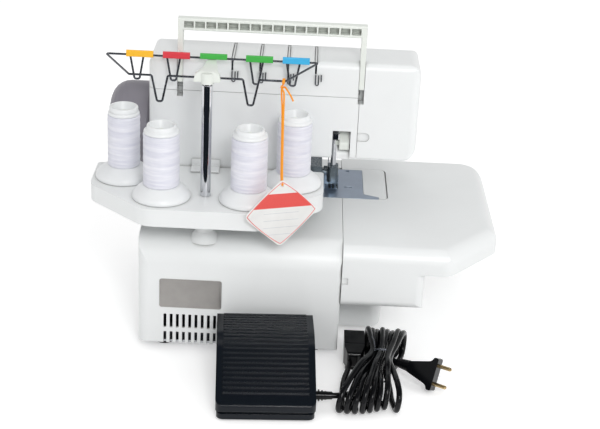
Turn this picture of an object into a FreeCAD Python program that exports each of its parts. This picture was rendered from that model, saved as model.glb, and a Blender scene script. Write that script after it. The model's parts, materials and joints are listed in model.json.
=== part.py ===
import FreeCAD, Part
import math
import os

# Overlock sewing machine with its thread stand, extension table, foot control and lead set.
# Millimetres. +Z up, +X towards the handwheel, +Y towards the rear, where the thread stand is.
# Z = 0 is the table that it stands on; the origin is the middle of the footprint.

Vec = FreeCAD.Vector

# ---------------------------------------------------------------- general fits
wall = 2.5               # moulded cover thickness
seam = 0.4               # gap between neighbouring covers
slip = 0.4               # gap between a moving piece and what it slides or swings past
run_fit = 0.06           # radial clearance of a shaft in its bearing bore
seat_fit = 0.05          # radial clearance of a piece fixed on a shaft or in a hole

# ---------------------------------------------------------------- base casing
case_left = -50.5
case_width = 212.0
case_rear = 63.0
case_depth = 258.0
case_bottom = 9.0
deck_top = 128.0
shoulder_radius = 27.0
front_radius = 12.0
case_corner = 12.0
plinth_length = 47.0
plinth_top = 61.5
plinth_rear_setback = 58.0
plinth_front_setback = 10.0
plinth_corner = 14.0

# ---------------------------------------------------------------- head and column
head_overhang = 75.0     # the head's reach past the case, over the free arm
head_setback = 100.0
head_depth = 128.0
head_bottom = 188.0
head_top = 295.0
head_top_depth = 64.0
head_brow_drop = 73.0
head_brow_inset = 5.0
head_end_radius = 12.0
head_lower_radius = 18.0
column_inset = 48.0      # from the case's left side to the column
cover_seam_z = 258.0
face_length = 64.0
cover_split = 63.0       # rear cover depth, from the head's rear face

# ---------------------------------------------------------------- free arm and needle plate
arm_length = 51.0
arm_rear_setback = 134.0
arm_front_setback = 223.0
arm_bottom = 70.0
arm_corner = 9.0
plate_thickness = 2.0
plate_right = -27.5
plate_width = 47.0
plate_depth = 84.0
plate_tip = 17.0
plate_tip_depth = 6.0
plate_hole_inset = 30.0
plate_hole_radius = 2.4
plate_slot_length = 4.0
plate_slot_setback = 32.0
deck_notch_right = -9.5

# ---------------------------------------------------------------- extension table
table_length = 167.0
table_skirt = 26.0
table_wall = 3.0
table_box_length = 87.0
table_chamfer_x = 55.0
table_chamfer_y = 65.0
table_corner = 42.0
table_edge = 14.0         # radius of its outer top edges
latch_notch = 7.0
latch_depth = 1.4
latch_height = 88.0

# ---------------------------------------------------------------- drive train
shaft_radius = 6.0
drive_y = -107.0
main_shaft_z = 190.0
crank_shaft_z = 70.0
belt_thickness = 2.0
upper_pulley_radius = 18.0
upper_belt_inset = 45.5  # these three are measured from the case's right side
upper_belt_width = 8.0
crank_pulley_radius = 38.0
motor_pulley_radius = 8.0
motor_belt_inset = 33.5
motor_belt_width = 6.0
motor_y = 8.0
motor_z = 60.0
motor_radius = 32.0
motor_length = 88.0
motor_shaft_radius = 4.0
cam_radius = 13.0
cam_width = 6.0
frame_wall = 6.0
frame_floor = 5.0
frame_left = 4.0
frame_inset = 21.5
wheel_radius = 50.0
wheel_width = 48.0
wheel_round = 21.0

# ---------------------------------------------------------------- sewing parts
needle_x = -36.5
needle_y = -122.0
needle_bar_radius = 3.5
needle_bar_bottom = 172.0
needle_bar_top = 256.0
needle_stroke = 28.0
needle_length = 34.0
needle_pitch = 5.0
needle_radius = 0.5
presser_x = -39.0
presser_y = -102.0
presser_bar_radius = 3.0
presser_bar_bottom = 140.0
presser_bar_top = 250.0
presser_lift = 6.0
foot_clearance = 0.3
looper_pin_x = -12.0
looper_pin_z = 40.0
looper_pin_radius = 4.0
dog_travel = 1.5
dog_length = 16.5
dog_pitch = 4.0
dog_width = 2.0
knife_drop = 8.0
knife_length = 14.0
knife_stem = 6.0         # side of the upper knife's square stem

# ---------------------------------------------------------------- tension dials and slits
dial_pitch = 29.2
dial_first_x = 73.5
dial_radius = 17.0
dial_width = 12.0
dial_proud = 5.0
dial_axle_radius = 3.0
slit_width = 2.0
slit_flare = 3.0
slit_drop = 13.0         # how far each slit runs down the rear face
hook_drop = 14.0

# ---------------------------------------------------------------- carrying handle
handle_length = 196.5
handle_inset = 30.6      # from the head's right end
handle_bar_height = 13.0
handle_rise = 41.0       # the bar's top over the head's top
handle_seat = 28.0       # how far the arms reach below the head's top
handle_depth = 13.0
handle_arm_width = 5.5
handle_drop = 14.0
handle_pockets = 16
handle_rib = 1.7

# ---------------------------------------------------------------- thread stand
tray_inset = 67.7        # from the case's right side to the tray's middle
tray_top = 172.0
tray_thickness = 19.0
tray_plate = 3.0
tray_near_half = 60.0
tray_half = 121.7
tray_near_y = 83.0
tray_shoulder_y = 23.0
tray_gap = 0.5
spool_near_half = 44.5
spool_near_y = 48.0
spool_far_half = 89.0
spool_far_y = -1.0
spool_base_radius = 30.0
spool_skirt = 13.5
spool_thread_radii = (16.8, 18.5, 18.5, 18.0)
spool_top_radius = 15.0
spool_height = 78.0
spool_bore = 6.0
pin_radius = 3.0
pin_height = 74.0
post_radius = 9.0
tube_radius = 5.4
tube_wall = 0.8
tube_y = 40.0
tube_top = 291.0
rod_radius = 4.2
rod_top = 297.2
rod_overlap = 116.0
rod_travel = 100.0
guide_z = 298.6
guide_wire = 1.1
guide_near_half = 78.0
guide_far_half = 110.0
guide_far_y = -24.0
guide_near_rise = 0.2
loop_near_offsets = (47.4, -43.5)
loop_near_width = 16.0
loop_near_drop = 27.0
loop_far_width = 14.0
loop_far_drop = 26.0
loop_far_offsets = (78.0, 40.0, -46.0, -84.0)
sleeve_offsets = (75.0, 37.0, -1.5, -49.0, -87.0)
sleeve_length = 28.0
sleeve_height = 7.0
sleeve_thickness = 3.2

# ---------------------------------------------------------------- foot control
pedal_x = 23.5
pedal_near_y = 195.0
pedal_length = 122.0
pedal_width = 99.0
pedal_turn = 3.5
pedal_base_height = 20.0
pedal_low = 18.0
pedal_high = 58.0
pedal_flat = 52.0
pedal_wall = 2.5
pedal_corner = 7.0
pedal_pin_radius = 2.5
pedal_pin_inset = 10.0
pedal_pin_z = 12.0
pedal_ribs = 21
pedal_rib_height = 1.0
pedal_crest_radius = 60.0
foot_radius = 11.0

# ---------------------------------------------------------------- derived places
case_right = case_left + case_width
case_front = case_rear - case_depth
upper_belt_x = case_right - upper_belt_inset
motor_belt_x = case_right - motor_belt_inset
frame_right = case_right - frame_inset
tray_x = case_right - tray_inset
head_right = case_right
handle_right = head_right - handle_inset
handle_top = head_top + handle_rise
handle_arm_bottom = head_top - handle_seat
head_left = case_left - head_overhang
head_rear = case_rear - head_setback
head_front = head_rear - head_depth
column_left = case_left + column_inset
face_seam_x = head_left + face_length
split_y = head_rear - cover_split
arm_left = case_left - arm_length
arm_rear = case_rear - arm_rear_setback
arm_front = case_rear - arm_front_setback
table_left = case_left - table_length
floor_z = case_bottom + wall + seam
frame_floor_top = floor_z + frame_floor
dial_xs = [dial_first_x - dial_pitch * i for i in range(4)]
dog_front = needle_y + 6.0
dog_xs = [needle_x - dog_pitch * i for i in range(3)]
dog_carrier_left = needle_x - 7.5
dog_carrier_right = needle_x + 3.5
dog_carrier_low = deck_top - 22.0
dog_carrier_high = deck_top - 14.0
knife_front = needle_y + 2.0
knife_edge_x = plate_right + 2.5
knife_x = needle_x + 17.5
knife_y = needle_y + 33.0
knife_guide_front = knife_y - 8.0
knife_guide_top = deck_top - 22.0
bed_front = arm_front + 2 * wall
bed_rear = arm_rear - 4.0 - frame_wall
tray_bottom = tray_top - tray_thickness
parts = {}


# ---------------------------------------------------------------- shape helpers
def box(x0, x1, y0, y1, z0, z1):
    return Part.makeBox(x1 - x0, y1 - y0, z1 - z0, Vec(x0, y0, z0))


def rod(radius, start, end):
    line = end - start
    return Part.makeCylinder(radius, line.Length, start, line)


def rod_x(radius, x0, x1, y, z):
    return rod(radius, Vec(x0, y, z), Vec(x1, y, z))


def rod_y(radius, x, y0, y1, z):
    return rod(radius, Vec(x, y0, z), Vec(x, y1, z))


def rod_z(radius, x, y, z0, z1):
    return rod(radius, Vec(x, y, z0), Vec(x, y, z1))


def corner(before, here, after, radius):
    """Start, middle and end of the arc that rounds a corner, or None for a sharp one."""
    a = (before - here)
    b = (after - here)
    turn = a.getAngle(b)
    if radius <= 0 or turn > math.pi - 1e-6:
        return None
    a.normalize()
    b.normalize()
    reach = radius / math.tan(turn / 2)
    bisector = a + b
    bisector.normalize()
    centre = here + bisector * (radius / math.sin(turn / 2))
    return here + a * reach, centre - bisector * radius, here + b * reach


def rounded_path(points, radii, closed):
    """A wire of straight runs joined by tangent arcs."""
    count = len(points)
    edges = []
    arcs = {}
    inner = range(count) if closed else range(1, count - 1)
    for i in inner:
        arcs[i] = corner(points[i - 1], points[i], points[(i + 1) % count], radii[i])
    for i in range(count if closed else count - 1):
        j = (i + 1) % count
        start = arcs[i][2] if arcs.get(i) else points[i]
        end = arcs[j][0] if arcs.get(j) else points[j]
        if (end - start).Length > 1e-6:
            edges.append(Part.LineSegment(start, end).toShape())
        if arcs.get(j):
            edges.append(Part.Arc(*arcs[j]).toShape())
    return Part.Wire(edges)


def prism(outline, radii, axis, low, high):
    """A rounded outline extruded along an axis. Outline pairs are YZ, XZ or XY."""
    place = {"x": lambda a, b: Vec(low, a, b), "y": lambda a, b: Vec(a, low, b),
             "z": lambda a, b: Vec(a, b, low)}[axis]
    along = {"x": Vec(1, 0, 0), "y": Vec(0, 1, 0), "z": Vec(0, 0, 1)}[axis]
    corners = [place(a, b) for a, b in outline]
    wire = rounded_path(corners, radii, True)
    return Part.Face(wire).extrude(along * (high - low))


def inset(outline, amount):
    """The outline moved inwards by amount on every side."""
    area = sum(a[0] * b[1] - b[0] * a[1] for a, b in zip(outline, outline[1:] + outline[:1]))
    side = amount if area > 0 else -amount
    lines = []
    for a, b in zip(outline, outline[1:] + outline[:1]):
        length = math.hypot(b[0] - a[0], b[1] - a[1])
        normal = (-(b[1] - a[1]) / length, (b[0] - a[0]) / length)
        lines.append((a[0] + normal[0] * side, a[1] + normal[1] * side, b[0] - a[0], b[1] - a[1]))
    result = []
    for i in range(len(lines)):
        px, py, ux, uy = lines[i - 1]
        qx, qy, vx, vy = lines[i]
        t = ((qx - px) * vy - (qy - py) * vx) / (ux * vy - uy * vx)
        result.append((px + ux * t, py + uy * t))
    return result


def less(radii, amount):
    return [max(r - amount, 0.6) if r > 0 else 0 for r in radii]


def tube_along(points, radii, radius):
    """A round bar along a path of straight runs and tangent arcs."""
    path = rounded_path(points, radii, False)
    direction = points[1] - points[0]
    ring = Part.Wire(Part.makeCircle(radius, points[0], direction))
    return path.makePipeShell([ring], True, False)


def fuse(shapes):
    return shapes[0].multiFuse(shapes[1:]).removeSplitter()


def turned(profile, x, y, z0):
    """A solid of revolution about a vertical line; profile pairs are radius and height."""
    points = [Vec(x + r, y, z0 + z) for r, z in profile]
    face = Part.Face(Part.makePolygon(points + points[:1]))
    return face.revolve(Vec(x, y, 0), Vec(0, 0, 1), 360)


def turned_x(profile, x0, y, z):
    """A solid of revolution about a line along X; profile pairs are X offset and radius."""
    points = [Vec(x0 + a, y, z + r) for a, r in profile]
    face = Part.Face(Part.makePolygon(points + points[:1]))
    return face.revolve(Vec(0, y, z), Vec(1, 0, 0), 360)


# ---------------------------------------------------------------- base casing
case_plan_radii = [1.5, case_corner, case_corner, 4.0]


def case_plan():
    return [(case_left, case_front), (case_right, case_front), (case_right, case_rear),
            (case_left, case_rear)]


def case_block(amount):
    """The casing's outer form, moved inwards by amount."""
    side = [(case_front, case_bottom), (case_rear, case_bottom), (case_rear, deck_top),
            (case_front, deck_top)]
    side_radii = [2.0, 2.0, shoulder_radius, front_radius]
    body = prism(inset(side, amount), less(side_radii, amount), "x", case_left, case_right)
    plan = prism(inset(case_plan(), amount), less(case_plan_radii, amount), "z",
                 case_bottom, deck_top)
    return body.common(plan)


def plinth_block(amount):
    left = case_left - plinth_length
    rear = case_rear - plinth_rear_setback
    front = case_front + plinth_front_setback
    reach = wall * 2
    plan = [(left, front), (case_left + reach, front), (case_left + reach, rear), (left, rear)]
    return prism(inset(plan, amount), less([plinth_corner, 0, 0, plinth_corner], amount), "z",
                 case_bottom, plinth_top - amount)


vent_pitch = 6.55
vent_count = 12
vent_width = 3.0
vent_first_x = 132.5
vent_rows = ((28.0, 44.0), (0.0, 23.0))
door_left = case_left + 4.5
door_right = 60.0
door_bottom = 20.0
door_top = 118.0
door_pin_radius = 2.0
door_pin_inset = 3.5
door_swing_gap = 2.2
door_pin_y = case_front + door_pin_inset
door_pin_z = door_bottom + door_pin_inset
door_lug = 4.0
dial_y = -150.0
length_dial_z = 95.0
feed_dial_z = 52.0
side_dial_radius = 18.0
side_dial_width = 9.0
side_dial_stub = 4.0
panel_y = 5.0
panel_z = 50.0
panel_length = 66.0
panel_height = 26.0


def vents():
    slots = []
    for row in vent_rows:
        for i in range(vent_count):
            x = vent_first_x - vent_pitch * i
            slots.append(box(x - vent_width / 2, x + vent_width / 2, case_rear - 2 * wall,
                             case_rear + wall, row[0], row[1]))
    return slots


def base_cover():
    shell = case_block(0).cut(case_block(wall))
    plinth = plinth_block(0).cut(case_block(0)).cut(plinth_block(wall))
    shell = fuse([shell, plinth])
    # open underneath, where the base plate closes it
    shell = shell.cut(case_block(wall).translated(Vec(0, 0, -2 * wall)))
    shell = shell.cut(plinth_block(wall).translated(Vec(0, 0, -wall)))
    inner_front = head_front + wall
    cuts = [box(column_left + wall, case_right - wall, inner_front, head_rear - wall,
                deck_top - 3 * wall, deck_top + wall),
            box(case_left - wall, deck_notch_right, arm_front, arm_rear,
                arm_bottom, deck_top + wall),
            box(door_left - slip, door_right + slip, case_front - wall, case_front + 2 * wall,
                door_bottom - door_swing_gap, door_top + slip),
            box(case_left - wall, case_left + 2 * wall, arm_front, arm_rear - 40,
                floor_z + 2 * wall, plinth_top - 2 * wall),
            rod_x(side_dial_stub + run_fit, case_right - 2 * wall, case_right + wall, dial_y,
                  length_dial_z),
            rod_x(side_dial_stub + run_fit, case_right - 2 * wall, case_right + wall, dial_y,
                  feed_dial_z),
            box(case_right - 2 * wall, case_right + wall, panel_y - panel_length / 2 + 3,
                panel_y + panel_length / 2 - 3, panel_z - panel_height / 2 + 3,
                panel_z + panel_height / 2 - 3)]
    shell = shell.cut(cuts + vents())
    # lug that carries the right end of the looper cover's hinge
    lug = box(door_right + slip, door_right + slip + door_lug, case_front + 1, case_front + 9,
              door_bottom - 2, door_bottom + 9)
    shell = fuse([shell, lug])
    pin = rod_x(door_pin_radius + run_fit, case_left + 1, door_right + 3.5, door_pin_y,
                door_pin_z)
    return shell.cut(pin)


def base_plate():
    plate = prism(inset(case_plan(), wall + seam), less(case_plan_radii, wall + seam), "z",
                  floor_z - wall, floor_z)
    return plate.cut([screw_shaft(x, y, seat_fit) for x, y in foot_places()])


foot_inset = 26.0


def machine_feet():
    """Round feet, each with a counterbore that its screw sits in."""
    feet = []
    for x, y in foot_places():
        foot = rod_z(foot_radius, x, y, 0, floor_z - wall)
        well = rod_z(screw_head_radius + slip, x, y, -1, screw_depth + screw_head_height)
        feet.append(foot.cut([well, screw_shaft(x, y, seat_fit)]))
    return feet


# ---------------------------------------------------------------- head covers
def head_side():
    return [(head_rear, head_bottom), (head_rear, head_top),
            (head_rear - head_top_depth, head_top),
            (head_front + head_brow_inset, head_top - head_brow_drop),
            (head_front, head_bottom)]


def head_block(amount):
    """The head and the column under it, moved inwards by amount."""
    side = inset(head_side(), amount)
    body = prism(side, less([4.0, 7.0, 16.0, 22.0, 6.0], amount), "x", head_left, head_right)
    ends = [(head_left, head_bottom), (head_right, head_bottom), (head_right, head_top),
            (head_left, head_top)]
    ends = inset(ends, amount)
    body = body.common(prism(ends, less([head_lower_radius, 0, head_end_radius,
                                         head_end_radius], amount), "y", head_front, head_rear))
    plan = [(head_left, head_front), (head_right, head_front), (head_right, head_rear),
            (head_left, head_rear)]
    body = body.common(prism(inset(plan, amount), less([10.0] * 4, amount), "z",
                             head_bottom, head_top))
    column = [(column_left, head_front), (head_right, head_front), (head_right, head_rear),
              (column_left, head_rear)]
    low = deck_top if amount == 0 else deck_top - 2 * wall
    stand = prism(inset(column, amount), less([8.0, 10.0, 10.0, 8.0], amount), "z",
                  low, head_bottom + 12)
    return fuse([body, stand])


pocket_left = -54.5
pocket_right = -35.2
pocket_top = 220.0
pocket_front = -112.0
lever_pin_y = -60.0
lever_pin_z = 212.0
lever_pin_radius = 2.0
lever_left = -53.5
lever_right = -43.2
bracket_z = lever_pin_z - 8.0
groove_bottom = handle_arm_bottom - handle_drop - 2.0
cutter_notch = 13.0
cutter_notch_height = 10.0
cutter_notch_z = 214.0
cutter_notch_skin = 0.8


def arm_xs():
    left = handle_right - handle_length
    return (left, handle_right - handle_arm_width)


def handle_grooves(extra):
    """The two slots that the handle's arms slide in."""
    grooves = []
    for x in arm_xs():
        grooves.append(box(x - slip - extra, x + handle_arm_width + slip + extra,
                           head_rear - handle_depth - slip - extra, head_rear + 5,
                           groove_bottom - extra, head_top + 5))
    return grooves


def lever_pocket(extra):
    return box(pocket_left - extra, pocket_right + extra, pocket_front - extra, head_rear + 5,
               head_bottom - 5, pocket_top + extra)


def slit_cut(x):
    """A thread slit over the head's top, with rounded lips."""
    half = slit_width / 2
    flare = slit_flare
    depth = 3 * wall
    low = head_top - depth
    outline = [(x - half, low), (x + half, low), (x + half, head_top - flare),
               (x + half + flare, head_top), (x + half + flare, head_top + 5),
               (x - half - flare, head_top + 5), (x - half - flare, head_top),
               (x - half, head_top - flare)]
    radii = [0, 0, flare, 0, 0, 0, 0, flare]
    over = prism(outline, radii, "y", head_rear - head_top_depth, head_rear + 5)
    deep = box(x - half, x + half, head_rear - depth, head_rear + 5, head_top - slit_drop,
               head_top)
    return fuse([over, deep])


def dial_centre():
    """Centre of the tension dials, just behind the sloping front."""
    run = head_depth - head_top_depth - head_brow_inset
    slope = math.hypot(run, head_brow_drop)
    normal = (-head_brow_drop / slope, run / slope)
    share = 0.5
    surface_y = head_rear - head_top_depth - run * share
    surface_z = head_top - head_brow_drop * share
    back = dial_radius - dial_proud
    return surface_y - normal[0] * back, surface_z - normal[1] * back


def head_shell():
    cavity = head_block(wall)
    cavity = cavity.cut(handle_grooves(wall) + [lever_pocket(wall)])
    shell = head_block(0).cut(cavity)
    y, z = dial_centre()
    cuts = handle_grooves(0) + [lever_pocket(0)] + [slit_cut(x) for x in dial_xs]
    for x in dial_xs:
        cuts.append(rod_x(dial_radius + 1.2, x - dial_width / 2 - 0.6, x + dial_width / 2 + 0.6,
                          y, z))
    cuts.append(rod_x(shaft_radius + 2, head_right - 3 * wall, head_right + wall, drive_y,
                      main_shaft_z))
    cuts.append(rod_z(presser_bar_radius + 1, presser_x, presser_y, pocket_top - 2,
                      pocket_top + 2 * wall))
    cuts.append(strap_screw(seat_fit))
    # the presser bar's bracket reaches back through the pocket's roof
    cuts.append(box(needle_x - 10, needle_x + 9, needle_y - 13, pocket_front - wall - 0.1,
                    head_bottom - wall, head_bottom + 2 * wall))
    # finger notch beside the face cover's seam
    notch = [(face_seam_x, cutter_notch_z - cutter_notch_height / 2),
             (face_seam_x, cutter_notch_z + cutter_notch_height / 2),
             (face_seam_x - cutter_notch, cutter_notch_z + cutter_notch_height / 2),
             (face_seam_x - cutter_notch, cutter_notch_z - cutter_notch_height / 2)]
    half = cutter_notch_height / 2 - 0.01
    cuts.append(prism(notch, [0, 0, half, half], "y", head_rear - wall + cutter_notch_skin,
                      head_rear + wall))
    return shell.cut(cuts)


def head_covers():
    """The head's shell, divided at its seams."""
    shell = head_shell()
    gap = seam / 2
    far = 400
    right_of_face = box(face_seam_x + gap, far, -far, far, 0, far)
    face = shell.common(box(-far, face_seam_x - gap, -far, far, 0, far))
    rest = shell.common(right_of_face)
    top = rest.common(box(-far, far, -far, far, cover_seam_z + gap, far))
    lower = rest.common(box(-far, far, -far, far, deck_top, cover_seam_z - gap))
    rear = lower.common(box(-far, far, split_y + gap, far, 0, far))
    front = lower.common(box(-far, far, -far, split_y - gap, 0, far))
    pin = rod_x(lever_pin_radius, pocket_left, lever_right - 0.5, lever_pin_y, lever_pin_z)
    return fuse([rear, pin]), front, top, face


def lifter_lever():
    """Presser foot lifter: a hub on a pin, with a tab that the finger raises."""
    outline = [(lever_pin_y - 5, lever_pin_z - 5), (lever_pin_y + 12, lever_pin_z - 15),
               (lever_pin_y + 20, lever_pin_z - 15), (lever_pin_y + 20, lever_pin_z - 7),
               (lever_pin_y + 4, lever_pin_z + 5), (lever_pin_y - 5, lever_pin_z + 5)]
    body = prism(outline, [4, 3, 2, 3, 4, 4.9], "x", lever_left, lever_right)
    # the lobe that lifts the presser bar's bracket
    lobe = box(lever_right - 1, presser_x, lever_pin_y + 6, lever_pin_y + 10, bracket_z - 5,
               bracket_z - 0.4)
    neck = box(lever_right - 3, lever_right, lever_pin_y + 4, lever_pin_y + 11,
               bracket_z - 5, lever_pin_z - 4)
    body = fuse([body, lobe, neck])
    return body.cut(rod_x(lever_pin_radius + run_fit, lever_left - 1, lever_right + 1,
                          lever_pin_y, lever_pin_z))


# ---------------------------------------------------------------- free arm, plate
def arm_block(amount):
    plan = [(arm_left, arm_front), (case_left, arm_front), (case_left, arm_rear),
            (arm_left, arm_rear)]
    body = prism(inset(plan, amount), less([arm_corner, 0, 0, arm_corner], amount), "z",
                 arm_bottom + amount, deck_top - amount)
    ends = [(arm_left, arm_bottom), (case_left, arm_bottom), (case_left, deck_top),
            (arm_left, deck_top)]
    return body.common(prism(inset(ends, amount), less([12.0, 0, 0, 3.0], amount), "y",
                             arm_front, arm_rear))


plate_radii = [2, 1, 1, 1, 4, 2]


def plate_outline(grow):
    rear = arm_rear - slip - 0.2
    left = plate_right - plate_width
    front = rear - plate_depth
    tip = left - plate_tip
    return [(plate_right + grow, front - grow), (plate_right + grow, rear + grow),
            (tip - grow, rear + grow), (tip - grow, rear - plate_tip_depth - grow),
            (left - grow, rear - 2.2 * plate_tip_depth), (left - grow, front - grow)]


def arm_cover():
    shell = arm_block(0).cut(arm_block(wall))
    open_end = box(case_left - 2 * wall, case_left + wall, arm_front + wall, arm_rear - wall,
                   arm_bottom + wall, deck_top - wall)
    recess = prism(plate_outline(0.3), plate_radii, "z", deck_top - plate_thickness,
                   deck_top + 1)
    body = shell.cut([open_end, recess])
    return body.common(box(arm_left - 1, case_left - seam, arm_front, arm_rear, 0, deck_top))


def needle_plate():
    """The plate, and beside it the fixed lower knife on its stalk."""
    plate = prism(plate_outline(0), plate_radii, "z", deck_top - plate_thickness, deck_top)
    slots = [box(needle_x - needle_pitch, needle_x + needle_pitch, needle_y - 2, needle_y + 2,
                 0, deck_top + 1)]
    play = dog_travel + 0.5
    for x in dog_xs:
        slots.append(box(x - dog_width / 2 - slip, x + dog_width / 2 + slip, dog_front - play,
                         dog_front + dog_length + play, 0, deck_top + 1))
    x = plate_right - plate_hole_inset
    slots.append(rod_z(plate_hole_radius, x, arm_rear - plate_depth + 4, 0, deck_top + 1))
    y = arm_rear - plate_slot_setback
    for low in (x - plate_slot_length - 0.6, x + 0.6):
        slots.append(box(low, low + plate_slot_length, y - 1, y + 1, 0, deck_top + 1))
    plate = plate.cut(slots)
    edge = knife_edge_x
    low = knife_guide_top
    knife = box(edge, edge + 1.6, knife_front, knife_front + knife_length, low, deck_top - 0.2)
    holder = box(edge + 1.6, edge + 6, knife_front, knife_front + knife_length - 4, low,
                 deck_top - 6)
    stalk = box(edge, edge + 6, knife_front, knife_guide_front, low - 6, low)
    return Part.makeCompound([plate, fuse([knife, holder, stalk])])


# ---------------------------------------------------------------- extension table
def table_plan(grow):
    left = table_left - grow
    rear = case_rear + grow
    front = case_front - grow
    right = case_left - seam
    return [(left, front), (right, front), (right, rear), (left + table_chamfer_x, rear),
            (left, rear - table_chamfer_y)]


def table_edges(shape, amount):
    """Rounds the outer top edges of the table, or of its hollow drawn in by an amount."""
    left = table_left
    turn = math.degrees(math.atan2(table_chamfer_y, table_chamfer_x))
    top = deck_top - amount
    for x, y, angle in ((left, case_rear, 0), (left, case_rear - table_chamfer_y, turn),
                        (left, case_front, 90)):
        block = prism([(-600, 0), (-amount, 0), (-amount, top), (-600, top)],
                      [0, 0, table_edge - amount, 0], "x", -600, 600)
        block.rotate(Vec(0, 0, 0), Vec(0, 0, 1), angle)
        block.translate(Vec(x, y, 0))
        shape = shape.common(block)
    return shape


def extension_table():
    radii = [table_corner, 0, 0, 18.0, 22.0]
    thin = less(radii, table_wall)
    top = prism(table_plan(0), radii, "z", deck_top - table_skirt, deck_top)
    deep_left = case_left - table_box_length
    deep_plan = [(deep_left, case_front), (case_left - seam, case_front),
                 (case_left - seam, case_rear), (deep_left, case_rear)]
    deep_radii = [10, 0, 0, 10]
    deep_side = [(case_front, plinth_top + slip), (case_rear, plinth_top + slip),
                 (case_rear, deck_top), (case_front, deck_top)]
    deep = prism(deep_plan, deep_radii, "z", plinth_top + slip, deck_top)
    deep = deep.common(prism(deep_side, [8, 8, 0, 0], "x", deep_left, case_left))
    edge = [(case_front, 0), (case_rear, 0), (case_rear, deck_top), (case_front, deck_top)]
    body = fuse([top, deep])
    body = body.common(prism(edge, [0, 0, 0, 5], "x", table_left, case_left))
    body = table_edges(body, 0)
    hollow_top = prism(inset(table_plan(0), table_wall), thin, "z",
                       deck_top - table_skirt - 1, deck_top - table_wall)
    hollow_deep = prism(inset(deep_plan, table_wall), less(deep_radii, table_wall), "z",
                        plinth_top + slip + table_wall, deck_top - table_wall)
    # the wing is hollow outside the box, and the box has a floor of its own
    hollow_top = hollow_top.cut(box(deep_left, case_left, case_front, case_rear, 0, deck_top))
    hollow_top = table_edges(hollow_top, table_wall)
    hollow_deep = table_edges(hollow_deep, table_wall)
    arm_hole = box(arm_left - slip - table_wall, case_left, arm_front - slip - table_wall,
                   arm_rear + slip + table_wall, 0, deck_top + 1)
    hollow_deep = hollow_deep.cut(arm_hole)
    body = body.cut([hollow_top, hollow_deep])
    gap = prism([(arm_left - slip, arm_front - slip), (case_left + 1, arm_front - slip),
                 (case_left + 1, arm_rear + slip), (arm_left - slip, arm_rear + slip)],
                [arm_corner, 0, 0, arm_corner], "z", 0, deck_top + 1)
    notch = box(case_left - latch_notch, case_left, case_rear - latch_depth, case_rear + 1,
                latch_height, latch_height + latch_notch)
    return body.cut([gap, notch])


# ---------------------------------------------------------------- main frame
def main_frame():
    """Casting: a floor, two bearing walls, the upper arm and the looper bed."""
    front = head_front + 15.0
    rear = head_rear - 8.0
    beam_z = pocket_top + wall + 3.5
    beam_top = beam_z + 24.0
    beam_front = presser_y + presser_bar_radius + 1.0
    right = frame_right + frame_wall
    walls = [box(x, x + frame_wall, front, rear, frame_floor_top, beam_z)
             for x in (frame_left, frame_right)]
    floor = box(case_left + 8, right, case_front + foot_inset - 8, case_rear - 15, floor_z,
                frame_floor_top)
    beam = box(face_seam_x + 1.5, right, beam_front, lever_pin_y + 2, beam_z, beam_top)
    head = box(presser_x - 15, presser_x + 15, needle_y - 11, beam_front, beam_z, beam_top - 8)
    guide = box(needle_x - 9.5, needle_x + 7.5, needle_y - 11, pocket_front - wall - 1,
                head_bottom + 6, beam_z)
    bed_z = deck_top - wall - slip
    plate_z = deck_top - plate_thickness
    bed_left = case_left + wall
    beds = []
    for y in (bed_rear, bed_front):
        beds.append(box(bed_left, frame_left, y, y + frame_wall, frame_floor_top, bed_z))
        beds.append(box(bed_left, plate_right - 1, y, y + frame_wall, bed_z - 1, plate_z))
    knife_guide = box(knife_x - 9, knife_x + 9, knife_guide_front, bed_rear,
                      knife_guide_top - 12, knife_guide_top)
    looper_pin = rod_y(looper_pin_radius, looper_pin_x, bed_front + frame_wall - 0.5,
                       bed_rear + 0.5, looper_pin_z)
    y, z = dial_centre()
    axle = rod_x(dial_axle_radius, dial_xs[-1] - 12, dial_xs[0] + 14, y, z)
    ears = []
    ear_xs = [x + dial_pitch / 2 - 2 for x in dial_xs] + [dial_xs[-1] - 12]
    for x in ear_xs:
        ears.append(prism([(beam_front + 1, beam_z + 4), (y - 5, z - 5), (y - 5, z + 5),
                           (beam_front + 1, beam_top)], [0, 4, 4, 0], "x", x, x + 4))
    body = fuse(walls + [floor, beam, head, guide, knife_guide, looper_pin, axle]
                + beds + ears)
    bore = shaft_radius + run_fit
    stem = knife_stem / 2 + slip
    cuts = [rod_x(bore, frame_left - 1, right + 1, drive_y, main_shaft_z),
            rod_x(bore, frame_left - 1, right + 1, drive_y, crank_shaft_z),
            rod_z(needle_bar_radius + run_fit, needle_x, needle_y, head_bottom, beam_top + 1),
            rod_z(presser_bar_radius + run_fit, presser_x, presser_y, beam_z - 1, beam_top + 1),
            box(dog_carrier_left - slip, dog_carrier_right + slip, bed_rear - 1,
                bed_rear + frame_wall + 1, dog_carrier_low - slip, dog_carrier_high + slip),
            box(knife_x - stem, knife_x + stem, knife_y - stem, knife_y + stem,
                knife_guide_top - 16, knife_guide_top + 4)]
    # lightening holes in the bearing walls, clear of both shafts
    between = (crank_shaft_z + main_shaft_z) / 2
    holes = ((drive_y + 32, between, 16), (drive_y - 18, between, 14),
             (drive_y + 27, crank_shaft_z - 30, 12))
    for x in (frame_left, frame_right):
        for y_hole, z_hole, r in holes:
            cuts.append(rod_x(r, x - 1, x + frame_wall + 1, y_hole, z_hole))
    cuts += [screw_shaft(x, y, seat_fit) for x, y in foot_places()]
    return body.cut(cuts)


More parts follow.
